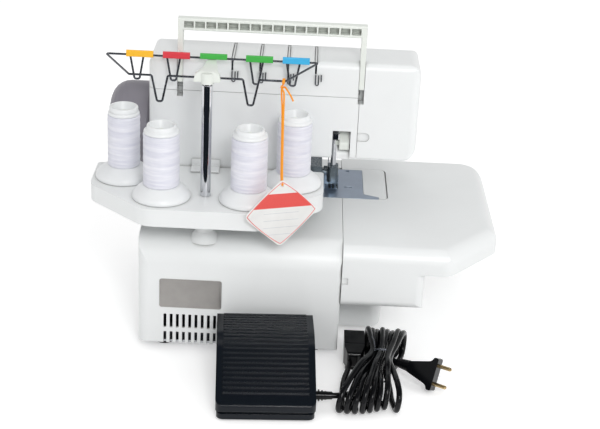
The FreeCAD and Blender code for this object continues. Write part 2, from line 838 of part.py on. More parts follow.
# ---------------------------------------------------------------- drive train
def handwheel():
    """A dished wheel with a domed rim and finger scallops."""
    gap = 1.0
    r = wheel_radius
    w = wheel_width
    profile = [(0, shaft_radius + seat_fit), (0, 16), (6, 18), (6, r - 12), (1, r - 8), (1, r - 2),
               (4, r)]
    for i in range(7):
        angle = math.radians(90 - 15 * i)
        profile.append((w - wheel_round * (1 - math.cos(angle)),
                        r - wheel_round * (1 - math.sin(angle))))
    profile += [(w - 1.5, 20), (w - 1.5, 8), (w - 4, 8), (w - 4, shaft_radius + seat_fit)]
    wheel = turned_x(profile, case_right + gap, drive_y, main_shaft_z)
    return wheel


def main_shaft():
    end = case_right + 1.0 + wheel_width - 5
    shaft = rod_x(shaft_radius, frame_left - 3, end, drive_y, main_shaft_z)
    pulley = rod_x(upper_pulley_radius, upper_belt_x, upper_belt_x + upper_belt_width, drive_y,
                   main_shaft_z)
    rims = [rod_x(upper_pulley_radius + 4, x, x + 1.5, drive_y, main_shaft_z)
            for x in (upper_belt_x - 2.0, upper_belt_x + upper_belt_width + 0.5)]
    collar = rod_x(shaft_radius + 4, frame_left + frame_wall + 0.5, frame_left + frame_wall + 10,
                   drive_y, main_shaft_z)
    hub = rod_x(11, upper_belt_x - 10, upper_belt_x + upper_belt_width + 2, drive_y, main_shaft_z)
    return fuse([shaft, pulley, hub, collar] + rims)


def crank_shaft():
    shaft = rod_x(shaft_radius, -38, frame_right + frame_wall + 5, drive_y, crank_shaft_z)
    pieces = [shaft]
    for x0, w, r in ((upper_belt_x, upper_belt_width, upper_pulley_radius),
                     (motor_belt_x, motor_belt_width, crank_pulley_radius)):
        pieces.append(rod_x(r, x0, x0 + w, drive_y, crank_shaft_z))
    pieces.append(rod_x(upper_pulley_radius + 4, upper_belt_x - 2.0, upper_belt_x - 0.5, drive_y,
                        crank_shaft_z))
    pieces.append(rod_x(11, upper_belt_x - 8, motor_belt_x + motor_belt_width + 4, drive_y,
                        crank_shaft_z))
    for x0 in (-34.0, -8.0):
        pieces.append(rod_x(cam_radius, x0, x0 + cam_width, drive_y, crank_shaft_z))
    return fuse(pieces)


def belt(x0, width, y_a, z_a, r_a, y_b, z_b, r_b):
    """A flat belt round two pulleys."""
    gap = 0.3

    def loop(extra):
        a = r_a + extra
        b = r_b + extra
        length = math.hypot(y_b - y_a, z_b - z_a)
        lean = math.atan2(z_b - z_a, y_b - y_a)
        open_angle = math.acos((a - b) / length)
        ends = []
        for sign in (1, -1):
            angle = lean + sign * open_angle
            ends.append((Vec(x0, y_a + a * math.cos(angle), z_a + a * math.sin(angle)),
                         Vec(x0, y_b + b * math.cos(angle), z_b + b * math.sin(angle))))
        back = Vec(x0, y_a - a * math.cos(lean), z_a - a * math.sin(lean))
        nose = Vec(x0, y_b + b * math.cos(lean), z_b + b * math.sin(lean))
        edges = [Part.LineSegment(ends[0][0], ends[0][1]).toShape(),
                 Part.Arc(ends[0][1], nose, ends[1][1]).toShape(),
                 Part.LineSegment(ends[1][1], ends[1][0]).toShape(),
                 Part.Arc(ends[1][0], back, ends[0][0]).toShape()]
        return Part.Face(Part.Wire(edges)).extrude(Vec(width, 0, 0))

    return loop(gap + belt_thickness).cut(loop(gap))


def timing_belts():
    upper = belt(upper_belt_x, upper_belt_width - 0.5, drive_y, crank_shaft_z,
                 upper_pulley_radius, drive_y, main_shaft_z, upper_pulley_radius)
    lower = belt(motor_belt_x, motor_belt_width, drive_y, crank_shaft_z, crank_pulley_radius,
                 motor_y, motor_z, motor_pulley_radius)
    return Part.makeCompound([upper, lower])


def motor():
    end = motor_belt_x - 10
    start = end - motor_length
    body = rod_x(motor_radius, start, end, motor_y, motor_z)
    cap = rod_x(motor_radius - 8, start - 8, start, motor_y, motor_z)
    nose = rod_x(12, end, end + 6, motor_y, motor_z)
    saddle = box(start + 12, end - 12, motor_y - 20, motor_y + 20, frame_floor_top, motor_z)
    bore = rod_x(motor_shaft_radius + run_fit, end - 30, end + 8, motor_y, motor_z)
    return fuse([body, cap, nose, saddle]).cut(bore)


def motor_pulley():
    shaft = rod_x(motor_shaft_radius, motor_belt_x - 30, motor_belt_x + motor_belt_width + 3,
                  motor_y, motor_z)
    pulley = rod_x(motor_pulley_radius, motor_belt_x, motor_belt_x + motor_belt_width,
                   motor_y, motor_z)
    rims = [rod_x(motor_pulley_radius + 3, x, x + 1.2, motor_y, motor_z)
            for x in (motor_belt_x - 1.8, motor_belt_x + motor_belt_width + 0.6)]
    return fuse([shaft, pulley] + rims)


# ---------------------------------------------------------------- sewing parts
def needle_bar():
    bar = rod_z(needle_bar_radius, needle_x, needle_y, needle_bar_bottom, needle_bar_top)
    clamp = rod_z(6.0, needle_x, needle_y, needle_bar_bottom - 6, needle_bar_bottom + 4)
    screw = rod_x(1.6, needle_x - 10, needle_x - 4, needle_y, needle_bar_bottom - 1)
    holder = fuse([bar, clamp, screw])
    tip = needle_bar_bottom - needle_length
    needles = []
    for side in (-1, 1):
        x = needle_x + side * needle_pitch / 2
        shank = rod_z(1.0, x, needle_y, needle_bar_bottom - 14, needle_bar_bottom - 6)
        blade = rod_z(needle_radius, x, needle_y, tip + 3, needle_bar_bottom - 14)
        point = Part.makeCone(0.1, needle_radius, 3, Vec(x, needle_y, tip))
        needles.append(fuse([shank, blade, point]))
    return fuse([holder] + needles)


def presser_bar():
    """The bar, with the bracket that the lifter lever raises."""
    bar = rod_z(presser_bar_radius, presser_x, presser_y, presser_bar_bottom, presser_bar_top)
    bracket = box(presser_x - presser_bar_radius - 0.2, presser_x + presser_bar_radius - 0.1,
                  presser_y + 1, lever_pin_y + 8, bracket_z, bracket_z + 7)
    return fuse([bar, bracket])


foot_left = presser_x - 7.0
foot_right = presser_x + 9.5
foot_toe = needle_y - 24.0
foot_heel = needle_y + 14.0
needle_gap = 2.5


def presser_foot():
    low = deck_top + foot_clearance
    sole = prism([(foot_left, foot_toe), (foot_right, foot_toe), (foot_right, foot_heel),
                  (foot_left, foot_heel)], [3, 3, 1, 1], "z", low, low + 2.5)
    toe = prism([(foot_toe, low), (foot_heel, low), (foot_heel, low + 12),
                 (foot_toe + 6, low + 3), (foot_toe - 4, low + 6), (foot_toe - 5, low + 4.5)],
                [0, 0, 0, 6, 1, 1], "x", foot_left, foot_right)
    clamp = prism([(presser_x - 6, presser_y - 8), (presser_x + 6, presser_y - 8),
                   (presser_x + 6, presser_y + 7), (presser_x - 6, presser_y + 7)],
                  [2, 2, 4, 4], "z", low + 8, low + 26)
    ankle = box(presser_x - 5, presser_x + 5, presser_y - 10, presser_y - 4, low + 2, low + 14)
    screw = rod_x(3.2, presser_x + 6, presser_x + 12, presser_y, low + 18)
    body = fuse([sole, toe, clamp, ankle, screw])
    slot_left = needle_x - needle_pitch / 2 - needle_gap - 0.5
    slot_right = needle_x + needle_pitch / 2 + needle_gap + 0.5
    return body.cut([box(slot_left, slot_right, needle_y - needle_gap, needle_y + needle_gap,
                         low - 1, low + 30),
                     box(slot_left, slot_right, foot_toe - 6, needle_y - 9, low - 1, low + 3.4),
                     rod_z(presser_bar_radius + seat_fit, presser_x, presser_y,
                           presser_bar_bottom - 0.1, low + 30)])


def looper(y0, y1, finger, top):
    """A rocking arm on the looper pin, with its finger pointing to the needle."""
    x = looper_pin_x
    hub = rod_y(8, x, y0, y1, looper_pin_z)
    arm = prism([(x - 4, looper_pin_z), (x + 4, looper_pin_z), (x + 3, top), (x - 3, top)],
                [0, 0, 1, 1], "y", y0, y1)
    mid = (y0 + y1) / 2
    blade = prism([(x + 2, top - 7), (x + 2, top - 1), (x - finger, top - 1.5),
                   (x - finger, top - 3)], [0, 0, 0.5, 0.5], "y", mid - 1.5, mid + 1.5)
    return fuse([hub, arm, blade]).cut(rod_y(looper_pin_radius + run_fit, x, y0 - 1, y1 + 1,
                                             looper_pin_z))


def upper_knife():
    """The moving cutter on its sliding stem."""
    half = knife_stem / 2
    arm_z = deck_top + 22
    edge = knife_edge_x - slip
    stem = box(knife_x - half, knife_x + half, knife_y - half, knife_y + half, deck_top - 50,
               arm_z)
    arm = prism([(edge - 1.2, needle_y - 6), (knife_x + 5, needle_y - 6),
                 (knife_x + 5, knife_y + half), (edge - 1.2, knife_y + half)],
                [2, 4, 2, 2], "z", arm_z, arm_z + 8)
    blade = box(edge - 1.5, edge, knife_front, knife_front + knife_length, deck_top + 0.8,
                arm_z + 1)
    holder = prism([(edge + 0.5, needle_y + 4), (knife_x + 4, needle_y + 4),
                    (knife_x + 4, needle_y + 22), (edge + 0.5, needle_y + 22)],
                   [1, 3, 3, 1], "z", arm_z - 12, arm_z + 1)
    bridge = box(edge - 0.5, edge + 1, knife_front + 2, knife_front + knife_length, arm_z - 10,
                 arm_z + 1)
    return fuse([stem, arm, blade, holder, bridge])


def feed_dogs():
    rear = bed_rear + frame_wall + 4
    carrier = box(dog_carrier_left, dog_carrier_right, dog_front - 0.5, rear, dog_carrier_low,
                  dog_carrier_high)
    base = box(dog_xs[-1] - dog_width / 2, dog_xs[0] + dog_width / 2, dog_front,
               dog_front + dog_length, dog_carrier_high - 2, dog_carrier_high + 4)
    rows = []
    for x in dog_xs:
        rows.append(box(x - dog_width / 2, x + dog_width / 2, dog_front, dog_front + dog_length,
                        dog_carrier_high - 2, deck_top - 0.3))
    return fuse([carrier, base] + rows)


def tension_dial(x):
    y, z = dial_centre()
    disc = rod_x(dial_radius, x - dial_width / 2, x + dial_width / 2, y, z)
    cuts = [rod_x(dial_axle_radius + run_fit, x - dial_width, x + dial_width, y, z)]
    teeth = 36
    for i in range(teeth):
        angle = 2 * math.pi * i / teeth
        cuts.append(rod_x(0.7, x - dial_width, x + dial_width, y + dial_radius * math.cos(angle),
                          z + dial_radius * math.sin(angle)))
    return disc.cut(cuts)


def side_dial(z):
    x0 = case_right + slip
    r = side_dial_radius
    knob = turned_x([(0, 0), (0, r), (side_dial_width - 2, r - 0.5), (side_dial_width, r - 3),
                     (side_dial_width, 0)], x0, dial_y, z)
    stub = rod_x(side_dial_stub, case_right - 8, x0, dial_y, z)
    collar = rod_x(side_dial_stub + 3, case_right - 8, case_right - wall - 0.4, dial_y, z)
    grip = []
    for i in range(24):
        angle = 2 * math.pi * i / 24
        grip.append(rod_x(1.0, x0 + 1, x0 + side_dial_width + 1, dial_y + r * math.cos(angle),
                          z + r * math.sin(angle)))
    return fuse([knob, stub, collar]).cut(grip)


# ---------------------------------------------------------------- handle
def carry_handle():
    left = handle_right - handle_length
    y1 = head_rear - 0.2
    y0 = y1 - handle_depth + slip
    bottom = handle_top - handle_bar_height
    bar = prism([(y0, bottom), (y1, bottom), (y1, handle_top), (y0, handle_top)],
                [3, 1.5, 1.5, 4], "x", left, handle_right)
    arms = [box(x, x + handle_arm_width, y0, y1, handle_arm_bottom, bottom + 4)
            for x in arm_xs()]
    pitch = (handle_length - 2 * handle_arm_width) / handle_pockets
    cuts = []
    for i in range(handle_pockets):
        x = left + handle_arm_width + pitch * i
        cuts.append(box(x + handle_rib / 2, x + pitch - handle_rib / 2, y0 + 3, y1 + 1,
                        bottom + 3, handle_top - 3))
    return fuse([bar] + arms).cut(cuts)


# ---------------------------------------------------------------- thread stand
def tray_plan(amount):
    near = tray_near_y
    shoulder = tray_shoulder_y
    front = head_rear + tray_gap
    plan = [(tray_x - tray_half, front), (tray_x + tray_half, front),
            (tray_x + tray_half, shoulder), (tray_x + tray_near_half, near),
            (tray_x - tray_near_half, near), (tray_x - tray_half, shoulder)]
    return inset(plan, amount)


def spool_places():
    return [(tray_x + spool_far_half, spool_far_y), (tray_x + spool_near_half, spool_near_y),
            (tray_x - spool_near_half, spool_near_y), (tray_x - spool_far_half, spool_far_y)]


def spool_tray():
    radii = [4.0, 4.0, 22.0, 26.0, 26.0, 22.0]
    body = prism(tray_plan(0), radii, "z", tray_bottom, tray_top)
    hollow = prism(tray_plan(tray_plate), less(radii, tray_plate), "z", tray_bottom - 1,
                   tray_top - tray_plate)
    body = body.cut(hollow)
    ribs = []
    for x, y in spool_places():
        ribs.append(rod_z(pin_radius + 4, x, y, tray_bottom + 4, tray_top - 1))
    boss = rod_z(post_radius + 3, tray_x, tube_y, tray_bottom + 1, tray_top - 1)
    body = fuse([body, boss] + ribs)
    holes = [rod_z(pin_radius + seat_fit, x, y, tray_bottom + 6, tray_top + 1)
             for x, y in spool_places()]
    holes.append(rod_z(tube_radius + seat_fit, tray_x, tube_y, tray_bottom, tray_top + 1))
    return body.cut(holes)


def spool_pins():
    pins = []
    for x, y in spool_places():
        pin = rod_z(pin_radius, x, y, tray_bottom + 6, tray_top + pin_height - 3)
        tip = Part.makeCone(pin_radius, 1.6, 3, Vec(x, y, tray_top + pin_height - 3))
        pins.append(fuse([pin, tip]))
    return Part.makeCompound(pins)


strap_x = tray_x + 5.7
strap_half = 15.0
strap_gap = 0.2
strap_thickness = 2.0
strap_reach = 18.0
strap_rise = 9.0


def tray_bracket():
    """Post under the tray, and the strap that ties the tray to the head."""
    post = rod_z(post_radius, tray_x, tube_y, deck_top - 12, tray_bottom + 1)
    foot = Part.makeCone(post_radius + 8, post_radius, 10, Vec(tray_x, tube_y, deck_top - 5))
    post = fuse([post, foot]).cut(case_block(0))
    near = head_rear + strap_gap
    low = tray_top + strap_gap
    thick = strap_thickness
    strap = prism([(near, low), (near + strap_reach, low), (near + strap_reach, low + thick),
                   (near + thick, low + thick), (near + thick, low + strap_rise),
                   (near, low + strap_rise)],
                  [0, 1, 0.8, 1.5, 0.8, 0.8], "x", strap_x - strap_half, strap_x + strap_half)
    strap = strap.cut(strap_screw(seat_fit))
    post = post.cut(rod_z(tube_radius + seat_fit, tray_x, tube_y, tray_bottom - 2,
                          tray_bottom + 4))
    return Part.makeCompound([post, strap])


def telescope_tube():
    outer = rod_z(tube_radius, tray_x, tube_y, tray_bottom - 1.5, tube_top)
    return outer.cut(rod_z(tube_radius - tube_wall, tray_x, tube_y, tray_bottom, tube_top + 1))


def telescope_rod():
    return rod_z(rod_radius, tray_x, tube_y, rod_top - rod_overlap - 6, rod_top)


def guide_bracket():
    """Moulded cap on the rod, with a boss for the wires and a grip on each side."""
    low = rod_top - 4.0
    boss = rod_z(6.8, tray_x, tube_y, low, low + 11)
    wings = prism([(tray_x - 14, guide_z - 3.4), (tray_x + 14, guide_z - 3.4),
                   (tray_x + 12, guide_z + 4.4), (tray_x + 7, guide_z + 8),
                   (tray_x - 7, guide_z + 8), (tray_x - 12, guide_z + 4.4)],
                  [1.5, 1.5, 3, 2, 2, 3], "y", tube_y - 4.0, tube_y + 4.0)
    spine = prism([(tray_x - 12, tube_y), (tray_x + 12, tube_y), (tray_x + 4, guide_far_y - 3),
                   (tray_x - 4, guide_far_y - 3)], [0, 0, 2, 2], "z",
                  guide_z - 4.0, guide_z - guide_wire - 0.2)
    body = fuse([boss, wings, spine])
    bore = rod_z(rod_radius + seat_fit, tray_x, tube_y, low - 1, rod_top + 0.05)
    near_rod = rod_x(guide_wire + 0.12, tray_x - 20, tray_x + 20, tube_y,
                     guide_z + guide_near_rise)
    return body.cut([bore, near_rod])


def loop_points(x, y, z, width, drop, side):
    """A V-shaped thread loop that hangs from a rod, from its first top corner to its last."""
    tip = 2.6
    return [Vec(x + side * width / 2, y, z), Vec(x + side * tip, y, z - drop),
            Vec(x - side * tip, y, z - drop), Vec(x - side * width / 2, y, z)]


def wire_guide():
    """One bent wire: the near rod, a diagonal, the far rod, and back to the middle."""
    z_near = guide_z + guide_near_rise
    points = [Vec(tray_x - 0.4, tube_y, z_near)]
    points += loop_points(tray_x + loop_near_offsets[1], tube_y, z_near, loop_near_width,
                          loop_near_drop, 1)
    points.append(Vec(tray_x - guide_near_half, tube_y, z_near))
    points.append(Vec(tray_x - guide_far_half, guide_far_y, guide_z))
    for offset in reversed(loop_far_offsets):
        points += loop_points(tray_x + offset, guide_far_y, guide_z, loop_far_width,
                              loop_far_drop, -1)
    points.append(Vec(tray_x + guide_far_half, guide_far_y, guide_z))
    points.append(Vec(tray_x + guide_near_half, tube_y, z_near))
    points += loop_points(tray_x + loop_near_offsets[0], tube_y, z_near, loop_near_width,
                          loop_near_drop, 1)
    points.append(Vec(tray_x + 0.4, tube_y, z_near))
    return tube_along(points, [2.2] * len(points), guide_wire)


def label_sleeves():
    sleeves = []
    half = sleeve_length / 2
    for offset in sleeve_offsets:
        x = tray_x + offset
        y0 = guide_far_y - sleeve_thickness / 2
        y1 = guide_far_y + sleeve_thickness / 2
        top = guide_z + sleeve_height - 2.2
        low = guide_z - 2.2
        if abs(offset) < half:
            # the middle one rests on the bracket's spine
            low = guide_z - guide_wire - 0.1
        body = prism([(y0, low), (y1, low), (y1, top), (y0, top)], [1, 1, 1, 1], "x",
                     x - half, x + half)
        sleeves.append(body)
    rod_hole = rod_x(guide_wire + 0.12, tray_x - guide_far_half, tray_x + guide_far_half,
                     guide_far_y, guide_z)
    result = []
    side = loop_far_width / 2 + 2
    channels = [box(tray_x + offset - side, tray_x + offset + side,
                    guide_far_y - guide_wire - 0.12, guide_far_y + guide_wire + 0.12,
                    guide_z - 9, guide_z + 1.5) for offset in loop_far_offsets]
    for body in sleeves:
        result.append(body.cut([rod_hole] + channels))
    return Part.makeCompound(result)


def spool(index):
    """A cone spool: its core and its winding."""
    x, y = spool_places()[index]
    r = spool_base_radius
    t = spool_thread_radii[index]
    top = spool_height
    skirt = spool_skirt
    rim = spool_top_radius
    bore = spool_bore
    core = turned([(bore, 0), (r, 0), (r, 1.8), (r - 1.5, 5), (r - 5, 9), (t + 1.2, skirt),
                   (t - 3, skirt + 0.3), (t - 4.5, top - 12), (t - 0.4, top - 11.4),
                   (t - 0.7, top - 7), (rim, top - 5), (rim, top - 1.5), (rim - 1.2, top),
                   (rim - 2.6, top), (rim - 3.4, top - 8), (bore, top - 9)], x, y, tray_top + 0.3)
    winding = turned([(t - 2.7, skirt + 0.6), (t + 0.2, skirt + 0.6), (t, top - 13),
                      (t - 1, top - 11.8), (t - 4.2, top - 11.8)], x, y, tray_top + 0.3)
    return Part.makeCompound([core, winding.cut(core)])


def thread_hooks():
    """Wire hooks under each slit on the head's rear face."""
    hooks = []
    for x in dial_xs:
        y = head_rear
        z = head_top - hook_drop
        points = [Vec(x, y - 1.5, z), Vec(x, y + 3.0, z), Vec(x, y + 3.0, z - 10),
                  Vec(x - 3.2, y + 3.0, z - 10), Vec(x - 3.2, y + 3.0, z + 1)]
        hooks.append(tube_along(points, [0, 1.2, 1.5, 1.5, 0], 0.6))
        points = [Vec(x - 6.0, y - 1.5, z), Vec(x - 6.0, y + 2.4, z), Vec(x - 6.0, y + 2.4, z - 6)]
        hooks.append(tube_along(points, [0, 1.2, 0], 0.6))
        hooks.append(box(x - 0.8, x + 0.8, y - 7, y - 0.4, head_top - slit_drop + 0.4,
                         head_top - 3))
    return hooks


def hook_holes():
    holes = []
    for x in dial_xs:
        z = head_top - hook_drop
        holes.append(rod_y(0.72, x, head_rear - 1.8, head_rear + 1, z))
        holes.append(rod_y(0.72, x - 6.0, head_rear - 1.8, head_rear + 1, z))
    return holes


# ---------------------------------------------------------------- sockets, screws
def power_socket():
    """Side panel with the lead's inlet and the well of the power switch."""
    x1 = case_right + 1.5
    x0 = case_right - 17.0
    half = panel_length / 2
    high = panel_height / 2
    face = prism([(panel_y - half, panel_z - high), (panel_y + half, panel_z - high),
                  (panel_y + half, panel_z + high), (panel_y - half, panel_z + high)],
                 [4] * 4, "x", case_right + 0.05, x1)
    tub = box(x0, case_right + 0.05, panel_y - half + 3.4, panel_y + half - 3.4,
              panel_z - high + 3.4, panel_z + high - 3.4)
    inlet = box(x0 + 3, x1 + 1, panel_y + 3, panel_y + 27, panel_z - 7, panel_z + 7)
    well = box(x0 + 3, x1 + 1, panel_y - 26, panel_y - 4, panel_z - 8, panel_z + 8)
    pins = [rod_x(1.5, x0 + 2, x0 + 8, panel_y + y, panel_z) for y in (8, 15, 22)]
    axle = rod_y(1.5, case_right - 4, panel_y - 27, panel_y - 3, panel_z)
    return fuse([fuse([face, tub]).cut([inlet, well]), axle] + pins)


def power_switch():
    x = case_right - 4
    rocker = prism([(x - 5, panel_z - 4), (x + 4, panel_z - 7), (x + 6, panel_z - 7),
                    (x + 5, panel_z), (x + 6, panel_z + 7), (x + 4, panel_z + 7),
                    (x - 5, panel_z + 4)], [1, 0.5, 0.5, 10, 0.5, 0.5, 1], "y",
                   panel_y - 25.5, panel_y - 4.5)
    rocker = rocker.cut(rod_y(1.5 + run_fit, x, panel_y - 27, panel_y - 3, panel_z))
    rocker.rotate(Vec(x, panel_y, panel_z), Vec(0, 1, 0), -7)
    return rocker


screw_radius = 1.9
screw_head_radius = 4.0
screw_head_height = 2.0
screw_depth = 2.5        # how far the heads under the feet lie above the table
strap_screw_z = tray_top + 6.0
strap_screw_head = 2.4


def foot_places():
    xs = (case_left + foot_inset, case_right - foot_inset)
    ys = (case_front + foot_inset, case_rear - foot_inset)
    return [(x, y) for x in xs for y in ys]


def screw_shaft(x, y, extra):
    """A screw that holds a foot, the base plate and the casting together."""
    head = rod_z(screw_head_radius + extra, x, y, screw_depth - extra * 4,
                 screw_depth + screw_head_height)
    shank = rod_z(screw_radius + extra, x, y, screw_depth, frame_floor_top - 1 + extra * 4)
    return fuse([head, shank])


def strap_screw(extra):
    start = head_rear + strap_gap + strap_thickness
    head = rod_y(strap_screw_head, strap_x, start, start + screw_head_height, strap_screw_z)
    shank = rod_y(screw_radius + extra, strap_x, head_rear - 2 * wall, start + 0.5, strap_screw_z)
    return shank if extra else fuse([head, shank])


def cross_slot(x, y, z, along_y):
    """A cross recess in a screw head that faces down, or to the rear."""
    long = (strap_screw_head if along_y else screw_head_radius) * 0.6
    half = 0.4
    if along_y:
        return [box(x - long, x + long, y - 0.8, y + 1, z - half, z + half),
                box(x - half, x + half, y - 0.8, y + 1, z - long, z + long)]
    return [box(x - long, x + long, y - half, y + half, z - 1, z + 0.8),
            box(x - half, x + half, y - long, y + long, z - 1, z + 0.8)]


def cover_screws():
    screws = []
    for x, y in foot_places():
        screws.append(screw_shaft(x, y, 0).cut(cross_slot(x, y, screw_depth, False)))
    end = head_rear + strap_gap + strap_thickness + screw_head_height
    screws.append(strap_screw(0).cut(cross_slot(strap_x, end, strap_screw_z, True)))
    return Part.makeCompound(screws)


# ---------------------------------------------------------------- looper cover
def looper_cover():
    """Front cover, hinged along its lower edge."""
    outline = [(case_front, door_bottom), (case_front, door_top)]
    x0 = door_left
    x1 = door_right
    panel = prism([(x0, door_bottom), (x1, door_bottom), (x1, door_top), (x0, door_top)],
                  [2, 2, 6, 6], "y", outline[0][0], outline[0][0] + wall)
    rim = prism([(x0, door_bottom), (x1, door_bottom), (x1, door_top), (x0, door_top)],
                [2, 2, 6, 6], "y", case_front + wall - 0.1, case_front + 8)
    rim = rim.cut(prism([(x0 + wall, door_bottom + wall), (x1 - wall, door_bottom + wall),
                         (x1 - wall, door_top - wall), (x0 + wall, door_top - wall)],
                        [1, 1, 4, 4], "y", case_front, case_front + 10))
    pins = [rod_x(door_pin_radius, x0 - 2.8, x0 + 2, door_pin_y, door_pin_z),
            rod_x(door_pin_radius, x1 - 2, x1 + 3.2, door_pin_y, door_pin_z)]
    grip = prism([(case_front - 3, door_top - 14), (case_front, door_top - 14),
                  (case_front, door_top - 6), (case_front - 3, door_top - 8)],
                 [1, 0, 0, 1], "x", x0 + 30, x0 + 70)
    return fuse([panel, rim, grip] + pins)


# ---------------------------------------------------------------- foot control
def pedal_frame(shape):
    """Turns a piece of the foot control to the angle at which it stands."""
    result = shape.copy()
    middle = Vec(pedal_x, pedal_near_y - pedal_length / 2, 0)
    result.rotate(middle, Vec(0, 0, 1), pedal_turn)
    return result


pedal_far_y = pedal_near_y - pedal_length
pedal_half = pedal_width / 2
pedal_pin_y = pedal_near_y - pedal_pin_inset
relief_y = 168.0
relief_z = 15.0
relief_radius = 6.0
relief_length = 21.0
relief_start = pedal_x - pedal_half + 4.0
relief_end = relief_start - relief_length
lead_radius = 3.0
pad_radius = 6.0
pad_height = 2.0
base_flange = 6.0
base_clearance = 1.6
skirt_near = 9.5
skirt_far = 24.0
spring_y = 96.0
spring_radius = 7.0
spring_wire = 0.9
spring_turns = 6


def pedal_plan(amount):
    half = pedal_half - amount
    return [(pedal_x - half, pedal_far_y + amount), (pedal_x + half, pedal_far_y + amount),
            (pedal_x + half, pedal_near_y - amount), (pedal_x - half, pedal_near_y - amount)]


def pedal_base():
    flange = prism(pedal_plan(1), [pedal_corner] * 4, "z", pad_height, pad_height + base_flange)
    inner = pedal_wall + 1
    tub = prism(pedal_plan(inner), [5] * 4, "z", pad_height + base_flange - 1, pedal_base_height)
    hollow = prism(pedal_plan(inner + pedal_wall), [3] * 4, "z", pad_height + pedal_wall,
                   pedal_base_height + 1)
    boss = rod_z(spring_radius - 2.5, pedal_x, spring_y, pad_height, pad_height + 12)
    near = box(pedal_x - pedal_half + 6, pedal_x + pedal_half - 6, pedal_pin_y - 5,
               pedal_pin_y + 4.8, pad_height, pedal_base_height)
    body = fuse([fuse([flange, tub]).cut(hollow), boss, near])
    # the near end stays under the treadle's slope
    crest = pedal_far_y + pedal_flat
    slope = (pedal_high - 1 - pedal_low) / (pedal_near_y - crest)
    low = pedal_low - 1.2 * pedal_wall - base_clearance
    body = body.cut(prism([(pedal_near_y, low), (pedal_near_y, pedal_high),
                           (crest, pedal_high), (crest, low + slope * (pedal_near_y - crest))],
                          [0, 0, 0, 0], "x", pedal_x - pedal_half, pedal_x + pedal_half))
    pin = rod_x(pedal_pin_radius, pedal_x - pedal_half + 0.2, pedal_x + pedal_half - 0.2,
                pedal_pin_y, pedal_pin_z)
    hole = rod_x(relief_radius - 1.5, relief_start - 3, relief_start + 12, relief_y, relief_z)
    return pedal_frame(fuse([body.cut(hole), pin]))


def treadle_profile(amount):
    """Side outline: low and sloping at the near end, flat at the far end."""
    crest = pedal_far_y + pedal_flat
    return inset([(pedal_far_y, skirt_far - amount), (pedal_near_y, skirt_near - amount * 2),
                  (pedal_near_y, pedal_low), (crest, pedal_high - 1),
                  (pedal_far_y, pedal_high)], amount)


def treadle():
    radii = [2.0, 2.5, 3.5, pedal_crest_radius, 9.0]
    left = pedal_x - pedal_half
    right = pedal_x + pedal_half
    body = prism(treadle_profile(0), radii, "x", left, right)
    body = body.common(prism(pedal_plan(0), [pedal_corner] * 4, "z", 0, pedal_high + 5))
    inner = prism(treadle_profile(pedal_wall), less(radii, pedal_wall), "x",
                  left + pedal_wall, right - pedal_wall)
    inner = fuse([inner, inner.translated(Vec(0, 0, -pedal_wall * 3)),
                  inner.translated(Vec(0, 0, -pedal_wall * 5))])
    body = body.cut(inner)
    body = body.cut([rod_x(pedal_pin_radius + run_fit, left - 1, right + 1, pedal_pin_y,
                           pedal_pin_z),
                     box(left - 1, left + pedal_wall * 2, relief_y - relief_radius - 2,
                         relief_y + relief_radius + 2, 0, relief_z + relief_radius + 3)])
    return pedal_frame(fuse([body, treadle_ribs(left, right)]))


def treadle_ribs(left, right):
    """Cross ribs that follow the treadle's top."""
    crest_y = pedal_far_y + pedal_flat
    low_y = pedal_near_y
    drop = pedal_high - 1 - pedal_low
    run = low_y - crest_y
    ribs = []
    first = pedal_far_y + 9.0
    pitch = (pedal_near_y - 13.0 - first) / (pedal_ribs - 1)
    half_turn = (math.atan(drop / run) - math.atan(1 / pedal_flat)) / 2
    blend_y = pedal_crest_radius * math.tan(half_turn)
    for i in range(pedal_ribs):
        y = first + pitch * i
        flat_z = pedal_high - (y - pedal_far_y) / pedal_flat
        slope_z = pedal_high - 1 - (y - crest_y) * drop / run
        z = min(flat_z, slope_z)
        near = abs(y - crest_y)
        if near < blend_y:
            z -= (blend_y - near) ** 2 / (2 * pedal_crest_radius)
        ribs.append(box(left + 7, right - 7, y - pitch * 0.28, y + pitch * 0.28, z - 2.2,
                        z + pedal_rib_height))
    return Part.makeCompound(ribs)


def pedal_relief():
    """Ribbed sleeve that carries the lead out of the foot control."""
    x = relief_start
    r = relief_radius
    core = Part.makeCone(r - 1.6, lead_radius + 1.0, relief_length, Vec(x, relief_y, relief_z),
                         Vec(-1, 0, 0))
    pieces = [core]
    for i in range(4):
        along = 6.5 + 3.4 * i
        pieces.append(rod_x(r - 0.7 * i, x - along - 1.6, x - along, relief_y, relief_z))
    pieces.append(rod_x(r - 1.6, x, x + 3, relief_y, relief_z))
    return pedal_frame(fuse(pieces))


def pedal_spring():
    """Coil spring between the foot control's floor and its treadle."""
    low = pad_height + pedal_wall + spring_wire + 0.1
    ceiling = pedal_high - (spring_y - pedal_far_y) / pedal_flat - pedal_wall
    height = ceiling - low - spring_wire - 2.6
    coil = Part.makeHelix(height / spring_turns, height, spring_radius)
    coil.translate(Vec(pedal_x, spring_y, low))
    start = Vec(pedal_x + spring_radius, spring_y, low)
    ring = Part.Wire(Part.makeCircle(spring_wire, start, Vec(0, 1, 0.15)))
    return pedal_frame(Part.Wire(coil.Edges).makePipeShell([ring], True, True))


def rubber_feet():
    pads = []
    for x in (pedal_x - pedal_half + 14, pedal_x + pedal_half - 14):
        for y in (pedal_far_y + 14, pedal_near_y - 14):
            pads.append(pedal_frame(rod_z(pad_radius, x, y, 0, pad_height)))
    return Part.makeCompound(machine_feet() + pads)


